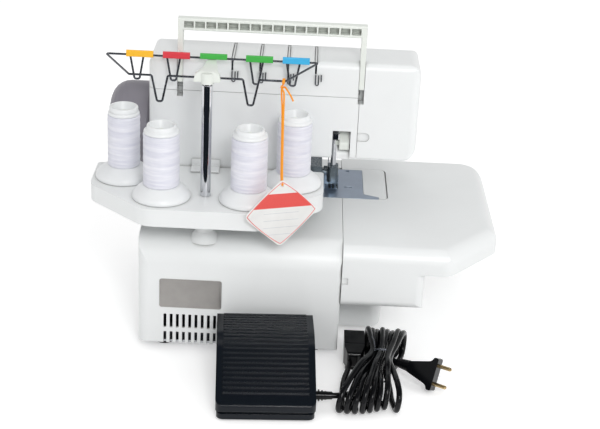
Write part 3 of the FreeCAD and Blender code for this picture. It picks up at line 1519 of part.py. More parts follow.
# ---------------------------------------------------------------- leads
hank_top = 40.0
hank_outline = ((-79.0, 43.5), (-125.5, 43.5), (-125.0, 74.0), (-110.0, 92.0), (-109.0, 112.0),
                (-114.0, 158.0), (-113.0, 176.0), (-97.0, 181.0), (-66.0, 187.0),
                (-49.0, 178.0), (-48.0, 161.0), (-68.0, 132.0), (-79.0, 114.0), (-79.0, 80.0))
connector_left = -57.0
connector_right = -78.5
connector_far = 50.0
connector_near = 94.0
connector_low = 6.0
connector_high = 29.0
plug_start = Vec(-111.8, 97.5, 18.6)
plug_yaw = 30.0
plug_lean = 62.0
lead_exit = pedal_frame(Part.Vertex(relief_end, relief_y, relief_z)).Point
side_loop = (Vec(-63.0, connector_near, 13.0), Vec(-62.0, 105.0, 12.0), Vec(-57.0, 122.0, 9.0),
             Vec(-55.5, 140.0, 6.5), Vec(-60.0, 156.0, 5.5))


def cord_hank():
    """Outer form of the two leads' turns, tied at the waist."""
    plan = prism(list(hank_outline), [14, 14, 20, 14, 30, 8, 8, 20, 14, 8, 10, 60, 20, 20], "z",
                 0, hank_top)
    far, near = hank_outline[0][1], hank_outline[8][1]
    side = [(far, 0), (near, 0), (near, hank_top - 6), (120, hank_top), (98, hank_top),
            (far, hank_top - 4)]
    return plan.common(prism(side, [12, 12, 16, 60, 60, 16], "x", -128, -46))


def arc_radii(points):
    """Each bend's radius: 0.45 of the shorter run over the tangent of half the turn."""
    radii = [0.0]
    for a, b, c in zip(points, points[1:], points[2:]):
        turn = (b - a).getAngle(c - b)
        radii.append(0.45 * min((b - a).Length, (c - b).Length) / math.tan(turn / 2))
    return radii + [0.0]


def pedal_lead():
    """The foot control's lead where it isn't in the hank."""
    out = pedal_frame(Part.Vertex(relief_end - 14.0, relief_y, relief_z)).Point
    first = rod(lead_radius, lead_exit, out)
    hank = cord_hank()
    radii = arc_radii(side_loop)
    print("side loop radii", [round(r, 1) for r in radii])
    second = tube_along(list(side_loop), radii, lead_radius)
    return Part.makeCompound([first.cut(hank), second.cut([hank, lead_connector()])])


def lead_connector():
    """Moulded block that plugs into the machine, with its two tail sleeves."""
    plan = [(connector_right, connector_far), (connector_left, connector_far),
            (connector_left, connector_near - 12), (connector_left - 4, connector_near),
            (connector_right + 4, connector_near), (connector_right, connector_near - 12)]
    block = prism(plan, [3, 3, 6, 3, 3, 6], "z", connector_low, connector_high)
    side = [(connector_far, connector_low), (connector_near, connector_low),
            (connector_near, connector_high - 6), (connector_near - 14, connector_high),
            (connector_far, connector_high)]
    block = block.common(prism(side, [3, 5, 5, 8, 3], "x", connector_right, connector_left))
    bottom = box(connector_right + 2, connector_left - 2, connector_far + 4,
                 connector_near - 8, 0.2, connector_low + 2)
    slots = [rod_y(2.2, (connector_left + connector_right) / 2 + dx, connector_far - 1,
                   connector_far + 14, (connector_low + connector_high) / 2)
             for dx in (-6, 0, 6)]
    return fuse([block, bottom]).cut(slots)


def mains_plug():
    """Flat two-pin plug with a ribbed sleeve, leaning on its edge."""
    outline = [(15, -5.5), (39.5, -12.5), (41, -17), (46, -17), (46, 17), (41, 17),
               (39.5, 12.5), (15, 5.5)]
    body = prism(outline, [3, 6, 2, 2, 2, 2, 6, 3], "z", -6.5, 6.5)
    sleeve = Part.makeCone(lead_radius + 0.6, 5.4, 17, Vec(0, 0, 0), Vec(1, 0, 0))
    rings = [rod_x(4.8 + 0.3 * i, 1.5 + 2.9 * i, 3.1 + 2.9 * i, 0, 0) for i in range(5)]
    body = fuse([body, sleeve] + rings)
    pins = []
    for side in (-9.5, 9.5):
        pin = rod_x(2.0, 46.0, 58.0, side, 0)
        tip = Part.makeSphere(2.0, Vec(58.0, side, 0))
        pins.append(fuse([pin, tip]))
    whole = Part.makeCompound([body] + pins)
    whole.rotate(Vec(0, 0, 0), Vec(1, 0, 0), plug_lean)
    whole.rotate(Vec(0, 0, 0), Vec(0, 0, 1), 180 - plug_yaw)
    whole.translate(plug_start)
    return whole


# ---------------------------------------------------------------- hang tag
tag_half_width = 41.0
tag_half_height = 37.5
tag_thickness = 0.8
tag_yaw = -24.0
tag_centre = Vec(14.5, 77.0, 172.0)
string_radius = 0.8


def hang_tag():
    outline = [(-tag_half_width, 0), (0, -tag_half_height), (tag_half_width, 0),
               (0, tag_half_height)]
    card = prism(outline, [6, 6, 6, 6], "y", -tag_thickness / 2, tag_thickness / 2)
    card = card.cut(rod_y(2.0, 0, -2, 2, tag_half_height - 7))
    card.rotate(Vec(0, 0, 0), Vec(0, 0, 1), -tag_yaw)
    card.translate(tag_centre)
    return card


def tag_string():
    corner_x = tray_x - guide_near_half
    top = Vec(corner_x + 3, tube_y, guide_z + guide_near_rise - guide_wire - 0.5)
    end = tag_centre + Vec(0, 0, tag_half_height - 1.4)
    return rod(string_radius, top, end)


# ---------------------------------------------------------------- the whole object
def build():
    rear, front, top, face = head_covers()
    parts["base_cover"] = base_cover()
    parts["base_plate"] = base_plate()
    parts["rubber_feet"] = rubber_feet()
    parts["arm_cover"] = arm_cover()
    parts["head_rear_cover"] = rear
    parts["head_front_cover"] = front
    parts["head_top_cover"] = top.cut(hook_holes())
    parts["face_cover"] = face
    parts["main_frame"] = main_frame()
    parts["needle_plate"] = needle_plate()
    parts["looper_cover"] = looper_cover()
    parts["extension_table"] = extension_table()
    parts["handwheel"] = handwheel()
    parts["main_shaft"] = main_shaft()
    parts["crank_shaft"] = crank_shaft()
    parts["timing_belts"] = timing_belts()
    parts["motor"] = motor()
    parts["motor_pulley"] = motor_pulley()
    parts["needle_bar"] = needle_bar()
    parts["presser_bar"] = presser_bar()
    parts["presser_foot"] = presser_foot()
    parts["lifter_lever"] = lifter_lever()
    reach = looper_pin_x - needle_x
    parts["upper_looper"] = looper(needle_y - 10.0, needle_y - 4.5, reach - 4.5, deck_top - 7)
    parts["lower_looper"] = looper(needle_y - 20.0, needle_y - 14.0, reach - 0.5, deck_top - 14)
    parts["upper_knife"] = upper_knife()
    parts["feed_dogs"] = feed_dogs()
    for number, x in enumerate(dial_xs, 1):
        parts["tension_dial_%d" % number] = tension_dial(x)
    parts["stitch_length_dial"] = side_dial(length_dial_z)
    parts["feed_ratio_dial"] = side_dial(feed_dial_z)
    parts["carry_handle"] = carry_handle()
    parts["spool_tray"] = spool_tray()
    parts["spool_pins"] = spool_pins()
    parts["tray_bracket"] = tray_bracket()
    parts["telescope_tube"] = telescope_tube()
    parts["telescope_rod"] = telescope_rod()
    parts["guide_bracket"] = guide_bracket()
    parts["wire_guide"] = wire_guide()
    parts["label_sleeves"] = label_sleeves()
    for number in range(1, 5):
        parts["spool_%d" % number] = spool(number - 1)
    parts["thread_hooks"] = Part.makeCompound(thread_hooks())
    parts["power_socket"] = power_socket()
    parts["power_switch"] = power_switch()
    parts["cover_screws"] = cover_screws()
    parts["pedal_base"] = pedal_base()
    parts["treadle"] = treadle()
    parts["pedal_relief"] = pedal_relief()
    parts["pedal_spring"] = pedal_spring()
    parts["pedal_lead"] = pedal_lead()
    parts["cord_hank"] = cord_hank()
    parts["lead_connector"] = lead_connector()
    parts["mains_plug"] = mains_plug()
    parts["hang_tag"] = hang_tag()
    parts["tag_string"] = tag_string()


build()
os.makedirs("parts", exist_ok=True)
for name, shape in parts.items():
    shape.exportStep("parts/%s.step" % name)
print(len(parts), "parts")
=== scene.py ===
"""The looks of an overlock machine with its thread stand, foot control and bundled leads.

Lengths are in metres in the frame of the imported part, unless a name ends in _mm.
"""
import json
import math

import bpy
from mathutils import Matrix, Vector


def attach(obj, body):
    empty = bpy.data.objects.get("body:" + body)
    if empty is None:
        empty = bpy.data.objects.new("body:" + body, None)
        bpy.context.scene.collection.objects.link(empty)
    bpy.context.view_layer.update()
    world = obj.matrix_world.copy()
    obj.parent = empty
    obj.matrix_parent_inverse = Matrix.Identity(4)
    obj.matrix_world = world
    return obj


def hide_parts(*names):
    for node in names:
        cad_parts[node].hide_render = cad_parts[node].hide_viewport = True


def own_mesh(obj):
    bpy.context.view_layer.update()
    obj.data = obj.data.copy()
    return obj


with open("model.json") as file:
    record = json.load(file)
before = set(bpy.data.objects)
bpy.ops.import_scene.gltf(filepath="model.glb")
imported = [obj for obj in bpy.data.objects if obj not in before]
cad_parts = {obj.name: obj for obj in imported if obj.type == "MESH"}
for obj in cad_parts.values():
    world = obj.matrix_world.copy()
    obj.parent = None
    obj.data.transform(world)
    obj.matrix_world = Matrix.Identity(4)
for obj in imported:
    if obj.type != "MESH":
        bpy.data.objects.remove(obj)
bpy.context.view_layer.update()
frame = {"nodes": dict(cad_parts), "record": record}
nodes = frame["nodes"]
MM = 0.001


# ---------------------------------------------------------------- small helpers
def mm(x, y, z):
    """A point given in millimetres, in metres."""
    return Vector((x * MM, y * MM, z * MM))


def srgb(text):
    """A colour written as rrggbb, as linear values with alpha."""
    values = [int(text[i:i + 2], 16) / 255 for i in (0, 2, 4)]
    return [v / 12.92 if v <= 0.04045 else ((v + 0.055) / 1.055) ** 2.4 for v in values] + [1.0]


def mesh_object(name, verts, faces, smooth=True):
    """A new object with this mesh, in the scene."""
    mesh = bpy.data.meshes.new(name)
    mesh.from_pydata([tuple(v) for v in verts], [], faces)
    mesh.validate()
    mesh.update()
    if smooth:
        mesh.shade_smooth()
    obj = bpy.data.objects.new(name, mesh)
    bpy.context.collection.objects.link(obj)
    return obj


def cord_curve(name, points, diameter, material):
    """One open spline, with the route's points as its control points."""
    curve = bpy.data.curves.new(name, "CURVE")
    curve.dimensions = "3D"
    spline = curve.splines.new("NURBS")
    spline.points.add(len(points) - 1)
    for slot, point in zip(spline.points, points):
        slot.co = (*point, 1.0)
    spline.order_u = 3
    spline.use_endpoint_u = True
    spline.resolution_u = 6
    curve.bevel_depth = diameter / 2
    curve.bevel_resolution = 5
    curve.use_fill_caps = True
    curve.materials.append(material)
    obj = bpy.data.objects.new(name, curve)
    bpy.context.collection.objects.link(obj)
    return obj


# ---------------------------------------------------------------- material nodes
class Shader:
    """One node material. node() makes a node and fills its inputs with numbers or links."""

    def __init__(self, name):
        self.material = bpy.data.materials.new(name)
        self.material.use_nodes = True
        self.tree = self.material.node_tree
        self.tree.nodes.clear()
        self.output = self.tree.nodes.new("ShaderNodeOutputMaterial")
        self.coords = self.node("TexCoord").outputs["Object"]

    def node(self, kind, inputs=None, **settings):
        made = self.tree.nodes.new("ShaderNode" + kind)
        for key, value in settings.items():
            setattr(made, key, value)
        for key, value in (inputs or {}).items():
            if isinstance(value, bpy.types.NodeSocket):
                self.tree.links.new(value, made.inputs[key])
            else:
                made.inputs[key].default_value = value
        return made

    def math(self, operation, *values):
        made = self.tree.nodes.new("ShaderNodeMath")
        made.operation = operation
        for socket, value in zip(made.inputs, values):
            if isinstance(value, bpy.types.NodeSocket):
                self.tree.links.new(value, socket)
            else:
                socket.default_value = value
        return made.outputs[0]

    def noise(self, scale, detail=3.0, roughness=0.55, vector=None):
        made = self.node("TexNoise", {"Vector": vector or self.coords, "Scale": scale,
                                      "Detail": detail, "Roughness": roughness})
        return made.outputs["Fac"]

    def spread(self, value, low, high):
        """A 0 to 1 value spread over low to high."""
        made = self.node("MapRange", {"Value": value, "From Min": 0.25, "From Max": 0.75,
                                      "To Min": low, "To Max": high})
        return made.outputs["Result"]

    def mix(self, factor, first, second):
        made = self.node("Mix", data_type="RGBA", blend_type="MIX")
        for index, value in ((0, factor), (6, first), (7, second)):
            if isinstance(value, bpy.types.NodeSocket):
                self.tree.links.new(value, made.inputs[index])
            else:
                made.inputs[index].default_value = value
        return made.outputs[2]

    def bump(self, height, strength, distance, normal=None):
        inputs = {"Height": height, "Strength": strength, "Distance": distance}
        if normal is not None:
            inputs["Normal"] = normal
        return self.node("Bump", inputs).outputs["Normal"]

    def edges(self, radius):
        """The normal of edges rounded to this radius."""
        return self.node("Bevel", {"Radius": radius}, samples=4).outputs["Normal"]

    def finish(self, **inputs):
        named = {key.replace("_", " "): value for key, value in inputs.items()}
        shader = self.node("BsdfPrincipled", named)
        self.tree.links.new(shader.outputs[0], self.output.inputs["Surface"])
        return self.material


def plastic(name, colour, rough, mottle=0.03, grain=0.05, grain_scale=1400.0, edge=0.0005,
            crevice_shade=0.0, level=0.5):
    """Moulded plastic: slight mottle, fine grain, softened edges and painted shade in seams and
    recesses.
    """
    s = Shader(name)
    broad = s.noise(14.0, 4.0)
    fine = s.noise(90.0, 5.0, 0.65)
    base = srgb(colour)
    darker = [c * (1 - mottle) for c in base[:3]] + [1.0]
    lighter = [min(1.0, c * (1 + mottle * 0.6)) for c in base[:3]] + [1.0]
    tint = s.mix(s.spread(broad, 0.0, 1.0), darker, lighter)
    # painted shade: the colour turns grey where the surface is hemmed in within 4 mm, in seams,
    # recesses and under things
    if crevice_shade:
        shade = s.node("AmbientOcclusion", {"Distance": 0.004}, samples=4).outputs["AO"]
        painted_shade = s.node("MapRange", {"Value": shade, "From Min": 0.35, "From Max": 0.95,
                                   "To Min": crevice_shade, "To Max": 0.0}).outputs["Result"]
        tint = s.mix(painted_shade, tint, srgb("8f8f8a"))
    grains = s.noise(grain_scale, 2.0)
    normal = s.bump(grains, grain, 0.0002, s.edges(edge))
    rough_low, rough_high = rough - 0.05, rough + 0.06
    return s.finish(Base_Color=tint, Roughness=s.spread(fine, rough_low, rough_high),
                    Normal=normal, Specular_IOR_Level=level)


def metal(name, colour, rough, brushed=0.0, brush_axis=(1.0, 1.0, 1.0), edge=0.0003,
          stain=0.05):
    """Bare or plated metal: fine brush lines, faint stains and softened edges."""
    s = Shader(name)
    stretch = s.node("Mapping", {"Vector": s.coords, "Scale": brush_axis}).outputs[0]
    lines = s.noise(900.0, 4.0, 0.6, stretch)
    stains = s.noise(70.0, 4.0)
    base = srgb(colour)
    darker = [c * (1 - stain * 2) for c in base[:3]] + [1.0]
    tint = s.mix(s.spread(stains, 0.0, 1.0), darker, base)
    normal = s.bump(lines, brushed, 0.00015, s.edges(edge))
    return s.finish(Base_Color=tint, Metallic=1.0, Normal=normal,
                    Roughness=s.spread(lines, max(0.02, rough - 0.06), rough + 0.06))


def rubbery(name, colour, rough, edge=0.0004, bump=0.08, scale=600.0, bloom=0.012,
            spread=0.08, level=0.5):
    """Rubber or soft vinyl with a faint bloom."""
    s = Shader(name)
    clouds = s.noise(120.0, 5.0, 0.7)
    base = srgb(colour)
    paler = [c + bloom for c in base[:3]] + [1.0]
    tint = s.mix(s.spread(clouds, 0.0, 1.0), base, paler)
    normal = s.bump(s.noise(scale, 3.0), bump, 0.0002, s.edges(edge))
    return s.finish(Base_Color=tint, Normal=normal, Specular_IOR_Level=level,
                    Roughness=s.spread(s.noise(260.0), rough - spread, rough + spread))


white = plastic("white_abs", "e9ebeb", 0.34, 0.02, 0.04, crevice_shade=0.5)
MATERIALS = {
    "white_cover": white,
    "white_handle": plastic("white_handle_plastic", "e3e7e1", 0.38, 0.03, 0.05, crevice_shade=0.45),
    "casting": metal("cast_aluminium", "a9abad", 0.45, 0.25, (1.0, 1.0, 1.0), stain=0.12),
    "steel": metal("ground_steel", "b4b6ba", 0.24, 0.12, (1.0, 1.0, 8.0)),
    "plate_steel": metal("plated_steel", "c3d0e2", 0.34, 0.10, (12.0, 1.0, 1.0)),
    "chrome": metal("chrome_plate", "d9dade", 0.08, 0.02, (1.0, 1.0, 0.05)),
    "wire": metal("drawn_wire", "6c6f76", 0.26, 0.05, stain=0.2),
    "rubber": rubbery("black_rubber", "1d1d1e", 0.6),
    "belt": rubbery("belt_rubber", "161616", 0.7),
    "motor_case": plastic("motor_paint", "2c2d30", 0.4),
    "wheel_grey": plastic("wheel_plastic", "85828a", 0.42, 0.05, 0.10),
    "dial_grey": plastic("dial_plastic", "8b8d92", 0.45, 0.05, 0.10),
    "pedal_black": plastic("pedal_plastic", "0a1119", 0.22, 0.10, 0.03, 1100.0, 0.0014, level=0.26),
    "lead_black": rubbery("lead_vinyl", "07080b", 0.17, bump=0.003, bloom=0.002, spread=0.03,
                          level=0.24),
    "black_plastic": plastic("black_moulding", "121315", 0.35),
    "thread_white": plastic("spool_plastic", "e8eaeb", 0.32),
    "label_mix": plastic("sleeve_green", "43b549", 0.4),
    "tag_card": plastic("card", "f4f4f2", 0.6),
    "string": rubbery("twine", "f29a22", 0.85),
    "screw": metal("screw_steel", "9b9da2", 0.25),
}


def dress_nodes():
    """Gives every node of the frame the material of its slot."""
    for entry in frame["record"]["subparts"]:
        mesh = nodes[entry["node"]].data
        mesh.materials.clear()
        mesh.materials.append(MATERIALS[entry["material_slot"]])


dress_nodes()
blued = metal("blued_steel", "7d878e", 0.26, 0.08, (1.0, 1.0, 6.0), stain=0.25)
for dark_node in ("presser_foot", "upper_knife", "feed_dogs"):
    nodes[dark_node].data.materials[0] = blued
nodes["tray_bracket"].data.materials[0] = white
# painted shade: the frame gets a darker copy of the casting, standing in for the shadow it lies in
# under the head
nodes["main_frame"].data.materials[0] = metal("frame_casting_painted_shade", "6d7276", 0.5, 0.25, stain=0.2)


# ---------------------------------------------------------------- leads in their hank
LEAD = 6.0 * MM
WAIST_X_MM, WAIST_Y_MM = -94.0, 110.0
STRAND_MM = 6.2


def wobble(seed, amount):
    """A small fixed unevenness, the same on every run."""
    return amount * math.sin(seed * 12.9898 + 4.1)


def hank_turn(slot):
    """One turn of the hank: near fold upwards, back over the top, far fold, underneath."""
    layer, column = slot % 3, slot // 3
    near_x = -52.0 - 8.0 * slot + wobble(slot, 1.2) - (5.0 if slot == 7 else 0.0)
    far_x = -82.0 - 5.7 * slot + wobble(slot + 20, 1.0)
    waist_x = WAIST_X_MM + (1 - column) * STRAND_MM
    top = 36.6 - STRAND_MM * layer
    low = 3.4 + STRAND_MM * layer
    near_y = 180.0 - 0.55 * (slot - 2) ** 2 + wobble(slot + 40, 1.6) + (9.0 if slot == 7 else 0.0)
    far_y = 48.0 + wobble(slot + 60, 1.3)
    near_top = 31.0 - 2.0 * layer + wobble(slot + 80, 1.5)
    far_top = 36.0 - 2.2 * layer
    bulge = 2.5 + wobble(slot + 100, 1.5)

    def at(y, z, under=0.0):
        """A point of the turn; its x spreads from the waist to each end."""
        if y >= WAIST_Y_MM:
            share = (y - WAIST_Y_MM) / (near_y - WAIST_Y_MM)
            x = waist_x + (near_x + under - waist_x) * share ** 0.85
        else:
            share = (WAIST_Y_MM - y) / (WAIST_Y_MM - far_y)
            x = waist_x + (far_x - waist_x) * share ** 0.7
        return mm(x, y, z)

    return [at(near_y - 13, 3.2, 3.0), at(near_y - 3, 4.6, 2.5), at(near_y, 12, 2.0),
            at(near_y - 1, 20, 1.0), at(near_y - 7, near_top - 4), at(near_y - 17, near_top),
            at(near_y - 31, near_top + bulge), at(WAIST_Y_MM + 22, top + bulge * 0.6),
            at(WAIST_Y_MM + 8, top), at(WAIST_Y_MM - 6, top),
            at(WAIST_Y_MM - 22, (top + far_top) / 2 + 1), at(far_y + 22, far_top + 0.6),
            at(far_y + 9, far_top - 1.5), at(far_y + 1, 27), at(far_y, 15), at(far_y + 5, 5.2),
            at(far_y + 17, 3.2), at(WAIST_Y_MM - 22, (low + 3.2) / 2), at(WAIST_Y_MM - 7, low),
            at(WAIST_Y_MM + 9, low), at(WAIST_Y_MM + 25, (low + 3.2) / 2, 3.0),
            at(near_y - 28, 3.2, 4.0)]


def mains_lead_route():
    """From the connector's tail, round the hank and out to the plug."""
    points = [mm(-63, 94, 13), mm(-62, 105, 12), mm(-57, 122, 9), mm(-55.5, 140, 6.5),
              mm(-55, 155, 5)]
    for slot in (0, 2, 4, 6):
        points += hank_turn(slot)
    # the last turn stops at the far fold and leaves to the plug
    points = points[:-6]
    points += [mm(-111, 61, 4.2), mm(-106, 70, 8.5), mm(-102, 80, 15), mm(-101.5, 88.5, 18.6),
               mm(-104.9, 93.5, 18.6), mm(-111.8, 97.5, 18.6)]
    return points


def pedal_lead_route():
    """From the foot control, through the hank's near end, the other way round, to the connector."""
    points = [mm(-45, 164, 15), mm(-53, 163.4, 15), mm(-62, 159.5, 14.5), mm(-71, 151, 14),
              mm(-79, 140, 13), mm(-86, 128, 11), mm(-93, 117, 9.5)]
    for slot in (7, 5, 3, 1):
        turn = hank_turn(slot)
        points += turn[18::-1] + turn[:18:-1]
    # the last turn leaves the near fold for the connector's tail
    points = points[:-3]
    points += [mm(-66, 146, 4.6), mm(-69.5, 130, 8), mm(-72.5, 115, 15), mm(-73, 104, 19.5),
               mm(-73, 94, 20)]
    return points


def hank_tie():
    """Thin wire wound twice round the waist, with its twisted end standing up."""
    points = []
    half_x, half_z, middle_z = 11.6, 19.4, 20.2
    steps = 16
    for i in range(2 * steps + 1):
        angle = 2 * math.pi * i / steps + 1.1
        x = WAIST_X_MM + half_x * math.copysign(abs(math.cos(angle)) ** 0.6, math.cos(angle))
        z = middle_z + half_z * math.copysign(abs(math.sin(angle)) ** 0.6, math.sin(angle))
        points.append(mm(x, WAIST_Y_MM + 1.6 * i / steps - 1.6, z))
    points += [mm(-88, 110, 40.5), mm(-87, 104, 42.5), mm(-86.5, 96, 43.5), mm(-84.5, 90, 43)]
    return cord_curve("hank_tie", points, 1.1 * MM, MATERIALS["wire"])


def leads():
    """Both leads and the wire that ties them, as curves on the machine."""
    glossy = MATERIALS["lead_black"]
    mains = cord_curve("mains_lead", mains_lead_route(), LEAD, glossy)
    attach(mains, "machine")
    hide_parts("cord_hank")
    pedal = cord_curve("pedal_lead_cord", pedal_lead_route(), LEAD, glossy)
    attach(pedal, "machine")
    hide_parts("pedal_lead")
    tie = hank_tie()
    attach(tie, "machine")


leads()


# ---------------------------------------------------------------- cone spools
SPOOL_BASE_MM = 172.3
SPOOL_HEIGHT_MM = 78.0
SPOOLS = ((182.8, -1.0, 16.8), (138.3, 48.0, 18.5), (49.3, 48.0, 18.5), (4.8, -1.0, 18.0))


def lathe(profile, steps, ripple=None):
    """Points and faces of a closed profile of (radius, height) turned about the z axis."""
    verts, faces = [], []
    count = len(profile)
    for i in range(steps):
        angle = 2 * math.pi * i / steps
        for radius, height in profile:
            r = radius + (ripple(angle, height) if ripple else 0.0)
            verts.append(mm(r * math.cos(angle), r * math.sin(angle), height))
    for i in range(steps):
        after = (i + 1) % steps
        for k in range(count):
            up = (k + 1) % count
            faces.append((i * count + k, after * count + k, after * count + up, i * count + up))
    return verts, faces


BAND_LENGTHWISE = 22.0
THREAD_LAY = 13000.0


def thread_material():
    """Fine polyester thread, cross-wound: slanting bands of light and shade."""
    s = Shader("spun_thread")
    x, y, z = s.node("SeparateXYZ", {0: s.coords}).outputs
    bands = []
    for slant, stretch in ((0.075, 230.0), (-0.06, 300.0)):
        level = s.math("MULTIPLY_ADD", x, slant, z)
        level = s.math("MULTIPLY_ADD", y, slant * 0.4, level)
        place = s.node("CombineXYZ", {0: s.math("MULTIPLY", x, BAND_LENGTHWISE),
                                      1: s.math("MULTIPLY", y, BAND_LENGTHWISE),
                                      2: s.math("MULTIPLY", level, stretch)}).outputs[0]
        bands.append(s.noise(1.0, 3.0, 0.6, place))
    both = s.math("MULTIPLY", s.math("ADD", bands[0], bands[1]), 0.5)
    tint = s.mix(s.spread(both, 0.05, 1.15), srgb("cdcedd"), srgb("f1f1f7"))
    lay = s.math("SINE", s.math("MULTIPLY", s.math("MULTIPLY_ADD", x, 0.075, z), THREAD_LAY))
    height = s.math("MULTIPLY_ADD", lay, 0.25, both)
    normal = s.bump(height, 0.35, 0.0006)
    return s.finish(Base_Color=tint, Roughness=s.spread(bands[0], 0.42, 0.6), Normal=normal,
                    Sheen_Weight=0.25)


def spools():
    """Each spool as its plastic core and its winding."""
    thread = thread_material()
    for number, (x, y, t) in enumerate(SPOOLS, 1):
        top = SPOOL_HEIGHT_MM
        core = [(6.1, 0.0), (29.6, 0.0), (30.0, 0.5), (30.0, 1.6), (29.7, 2.6), (29.0, 4.4),
                (27.4, 6.6), (25.2, 8.6), (22.6, 10.6), (t + 2.4, 12.2), (t + 1.2, 13.1),
                (t, 13.6), (t - 3, 13.8), (t - 4.5, top - 9), (t - 0.9, top - 8.6),
                (t - 0.4, top - 8.2), (t - 0.5, top - 6.8), (t - 1.1, top - 5.8),
                (t - 2.2, top - 5.0), (15.2, top - 4.6), (15.0, top - 3.8), (15.0, top - 1.4),
                (14.6, top - 0.4), (13.8, top), (12.9, top), (12.3, top - 0.6),
                (11.7, top - 8.0), (11.0, top - 8.8), (6.1, top - 9.0)]
        winding = [(t - 4.0, top - 8.9), (t - 4.0, 14.2), (t - 0.6, 14.0), (t, 14.6)]
        rows = 150
        low, high = 15.0, top - 10.0
        winding += [(t, low + (high - low) * k / rows) for k in range(rows + 1)]
        winding += [(t - 0.3, top - 9.3), (t - 1.2, top - 8.9)]

        def ripple(angle, height, shift=number * 1.7, outside=(low, high)):
            """Layers of the winding, crossing at a slight slant."""
            if not outside[0] <= height <= outside[1]:
                return 0.0
            up = 2 * math.pi * height / 6.3 + angle + shift
            down = 2 * math.pi * height / 8.9 - angle + shift
            return 0.09 * math.sin(up) + 0.07 * math.sin(down) + 0.04 * math.sin(height * 2.9)

        verts, faces = lathe(core, 96)
        more, wound = lathe(winding, 96, ripple)
        start, split = len(verts), len(faces)
        faces += [tuple(i + start for i in face) for face in wound]
        piece = mesh_object("cone_spool_%d" % number, verts + more, faces)
        piece.data.materials.append(MATERIALS["thread_white"])
        piece.data.materials.append(thread)
        for polygon in piece.data.polygons[split:]:
            polygon.material_index = 1
        piece.location = mm(x, y, SPOOL_BASE_MM)
        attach(piece, "spool_%d" % number)
        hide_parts("spool_%d" % number)


spools()


# ---------------------------------------------------------------- small coloured pieces
SLEEVE_BORDERS = (0.150, 0.1115, 0.0255)


def label_colours():
    """Each sleeve on the thread guide has its thread path's colour."""
    mesh = nodes["label_sleeves"].data
    mesh.materials.clear()
    for name, colour in (("yellow", "fdbe2a"), ("red", "dc3a45"), ("green", "43b549"),
                         ("blue", "3db4e7")):
        mesh.materials.append(plastic("sleeve_" + name, colour, 0.42, 0.05, 0.08, 900.0))
    for polygon in mesh.polygons:
        polygon.material_index = sum(polygon.center.x <= border for border in SLEEVE_BORDERS)


TAG_CENTRE_MM = (14.5, 77.0, 172.0)
TAG_HALF_SIZES = (0.041, 0.0375)
TAG_TURN = math.radians(24.0)
TAG_HOLE_MM = (14.5, 77.0, 202.5)


def tag_material():
    """White card with a thin red outline, a red band and faint ruled lines, without words."""
    s = Shader("tag_card_printed")
    x, y, z = s.node("SeparateXYZ", {0: s.coords}).outputs
    centre = mm(*TAG_CENTRE_MM)
    cosine, sine = math.cos(TAG_TURN), math.sin(TAG_TURN)
    across = s.math("MULTIPLY_ADD", x, cosine, -centre.x * cosine - centre.y * sine)
    u = s.math("MULTIPLY_ADD", y, sine, across)
    v = s.math("SUBTRACT", z, centre.z)
    side = s.math("DIVIDE", s.math("ABSOLUTE", u), TAG_HALF_SIZES[0])
    rise = s.math("DIVIDE", s.math("ABSOLUTE", v), TAG_HALF_SIZES[1])
    # distance in from the diamond's edge, rounded at its four corners
    bulk = s.math("POWER", s.math("ADD", s.math("POWER", side, 1.12), s.math("POWER", rise, 1.12)),
                  1 / 1.12)
    depth = s.math("MULTIPLY", s.math("SUBTRACT", 1.0, bulk), 0.0277)

    def between(value, low, high):
        """1 where the value lies between two limits, with edges a tenth of a millimetre soft."""
        first = s.node("MapRange", {0: value, 1: low - 0.0001, 2: low + 0.0001}).outputs[0]
        last = s.node("MapRange", {0: value, 1: high - 0.0001, 2: high + 0.0001, 3: 1.0,
                                   4: 0.0}).outputs[0]
        return s.math("MULTIPLY", first, last)

    outline = between(depth, 0.0026, 0.0032)
    inside = between(depth, 0.0032, 1.0)
    slope = s.math("MULTIPLY_ADD", u, -0.05, v)
    band = s.math("MULTIPLY", between(slope, 0.0060, 0.0215), inside)
    red = s.math("MAXIMUM", outline, band)
    rule = s.math("FRACT", s.math("DIVIDE", slope, 0.0078))
    rules = s.math("MULTIPLY", between(rule, 0.0, 0.05), between(slope, -0.0260, 0.0050))
    rules = s.math("MULTIPLY", rules, between(s.math("ABSOLUTE", u), -1.0, 0.019))
    rules = s.math("MULTIPLY", rules, inside)
    fibre = s.noise(900.0, 4.0, 0.7)
    card = s.mix(s.spread(s.noise(60.0), 0.0, 1.0), srgb("dfdedc"), srgb("e8e8e6"))
    card = s.mix(s.math("MULTIPLY", rules, 0.55), card, srgb("9aa2ae"))
    ink = s.mix(s.spread(fibre, 0.0, 1.0), srgb("dc3027"), srgb("e63b31"))
    tint = s.mix(s.math("MULTIPLY", red, 0.93), card, ink)
    return s.finish(Base_Color=tint, Roughness=s.spread(fibre, 0.42, 0.56),
                    Normal=s.bump(fibre, 0.06, 0.0001))


PLUG_BODY_LENGTH = 0.0462


def plug_pins():
    """Bare metal on the plug's two pins."""
    mesh = nodes["mains_plug"].data
    mesh.materials.append(metal("pin_brass", "c9b184", 0.22, 0.04, stain=0.15))
    start = mm(-111.8, 97.5, 18.6)
    along = Vector((math.cos(math.radians(150)), math.sin(math.radians(150)), 0.0))
    for polygon in mesh.polygons:
        if (polygon.center - start).dot(along) > PLUG_BODY_LENGTH:
            polygon.material_index = 1


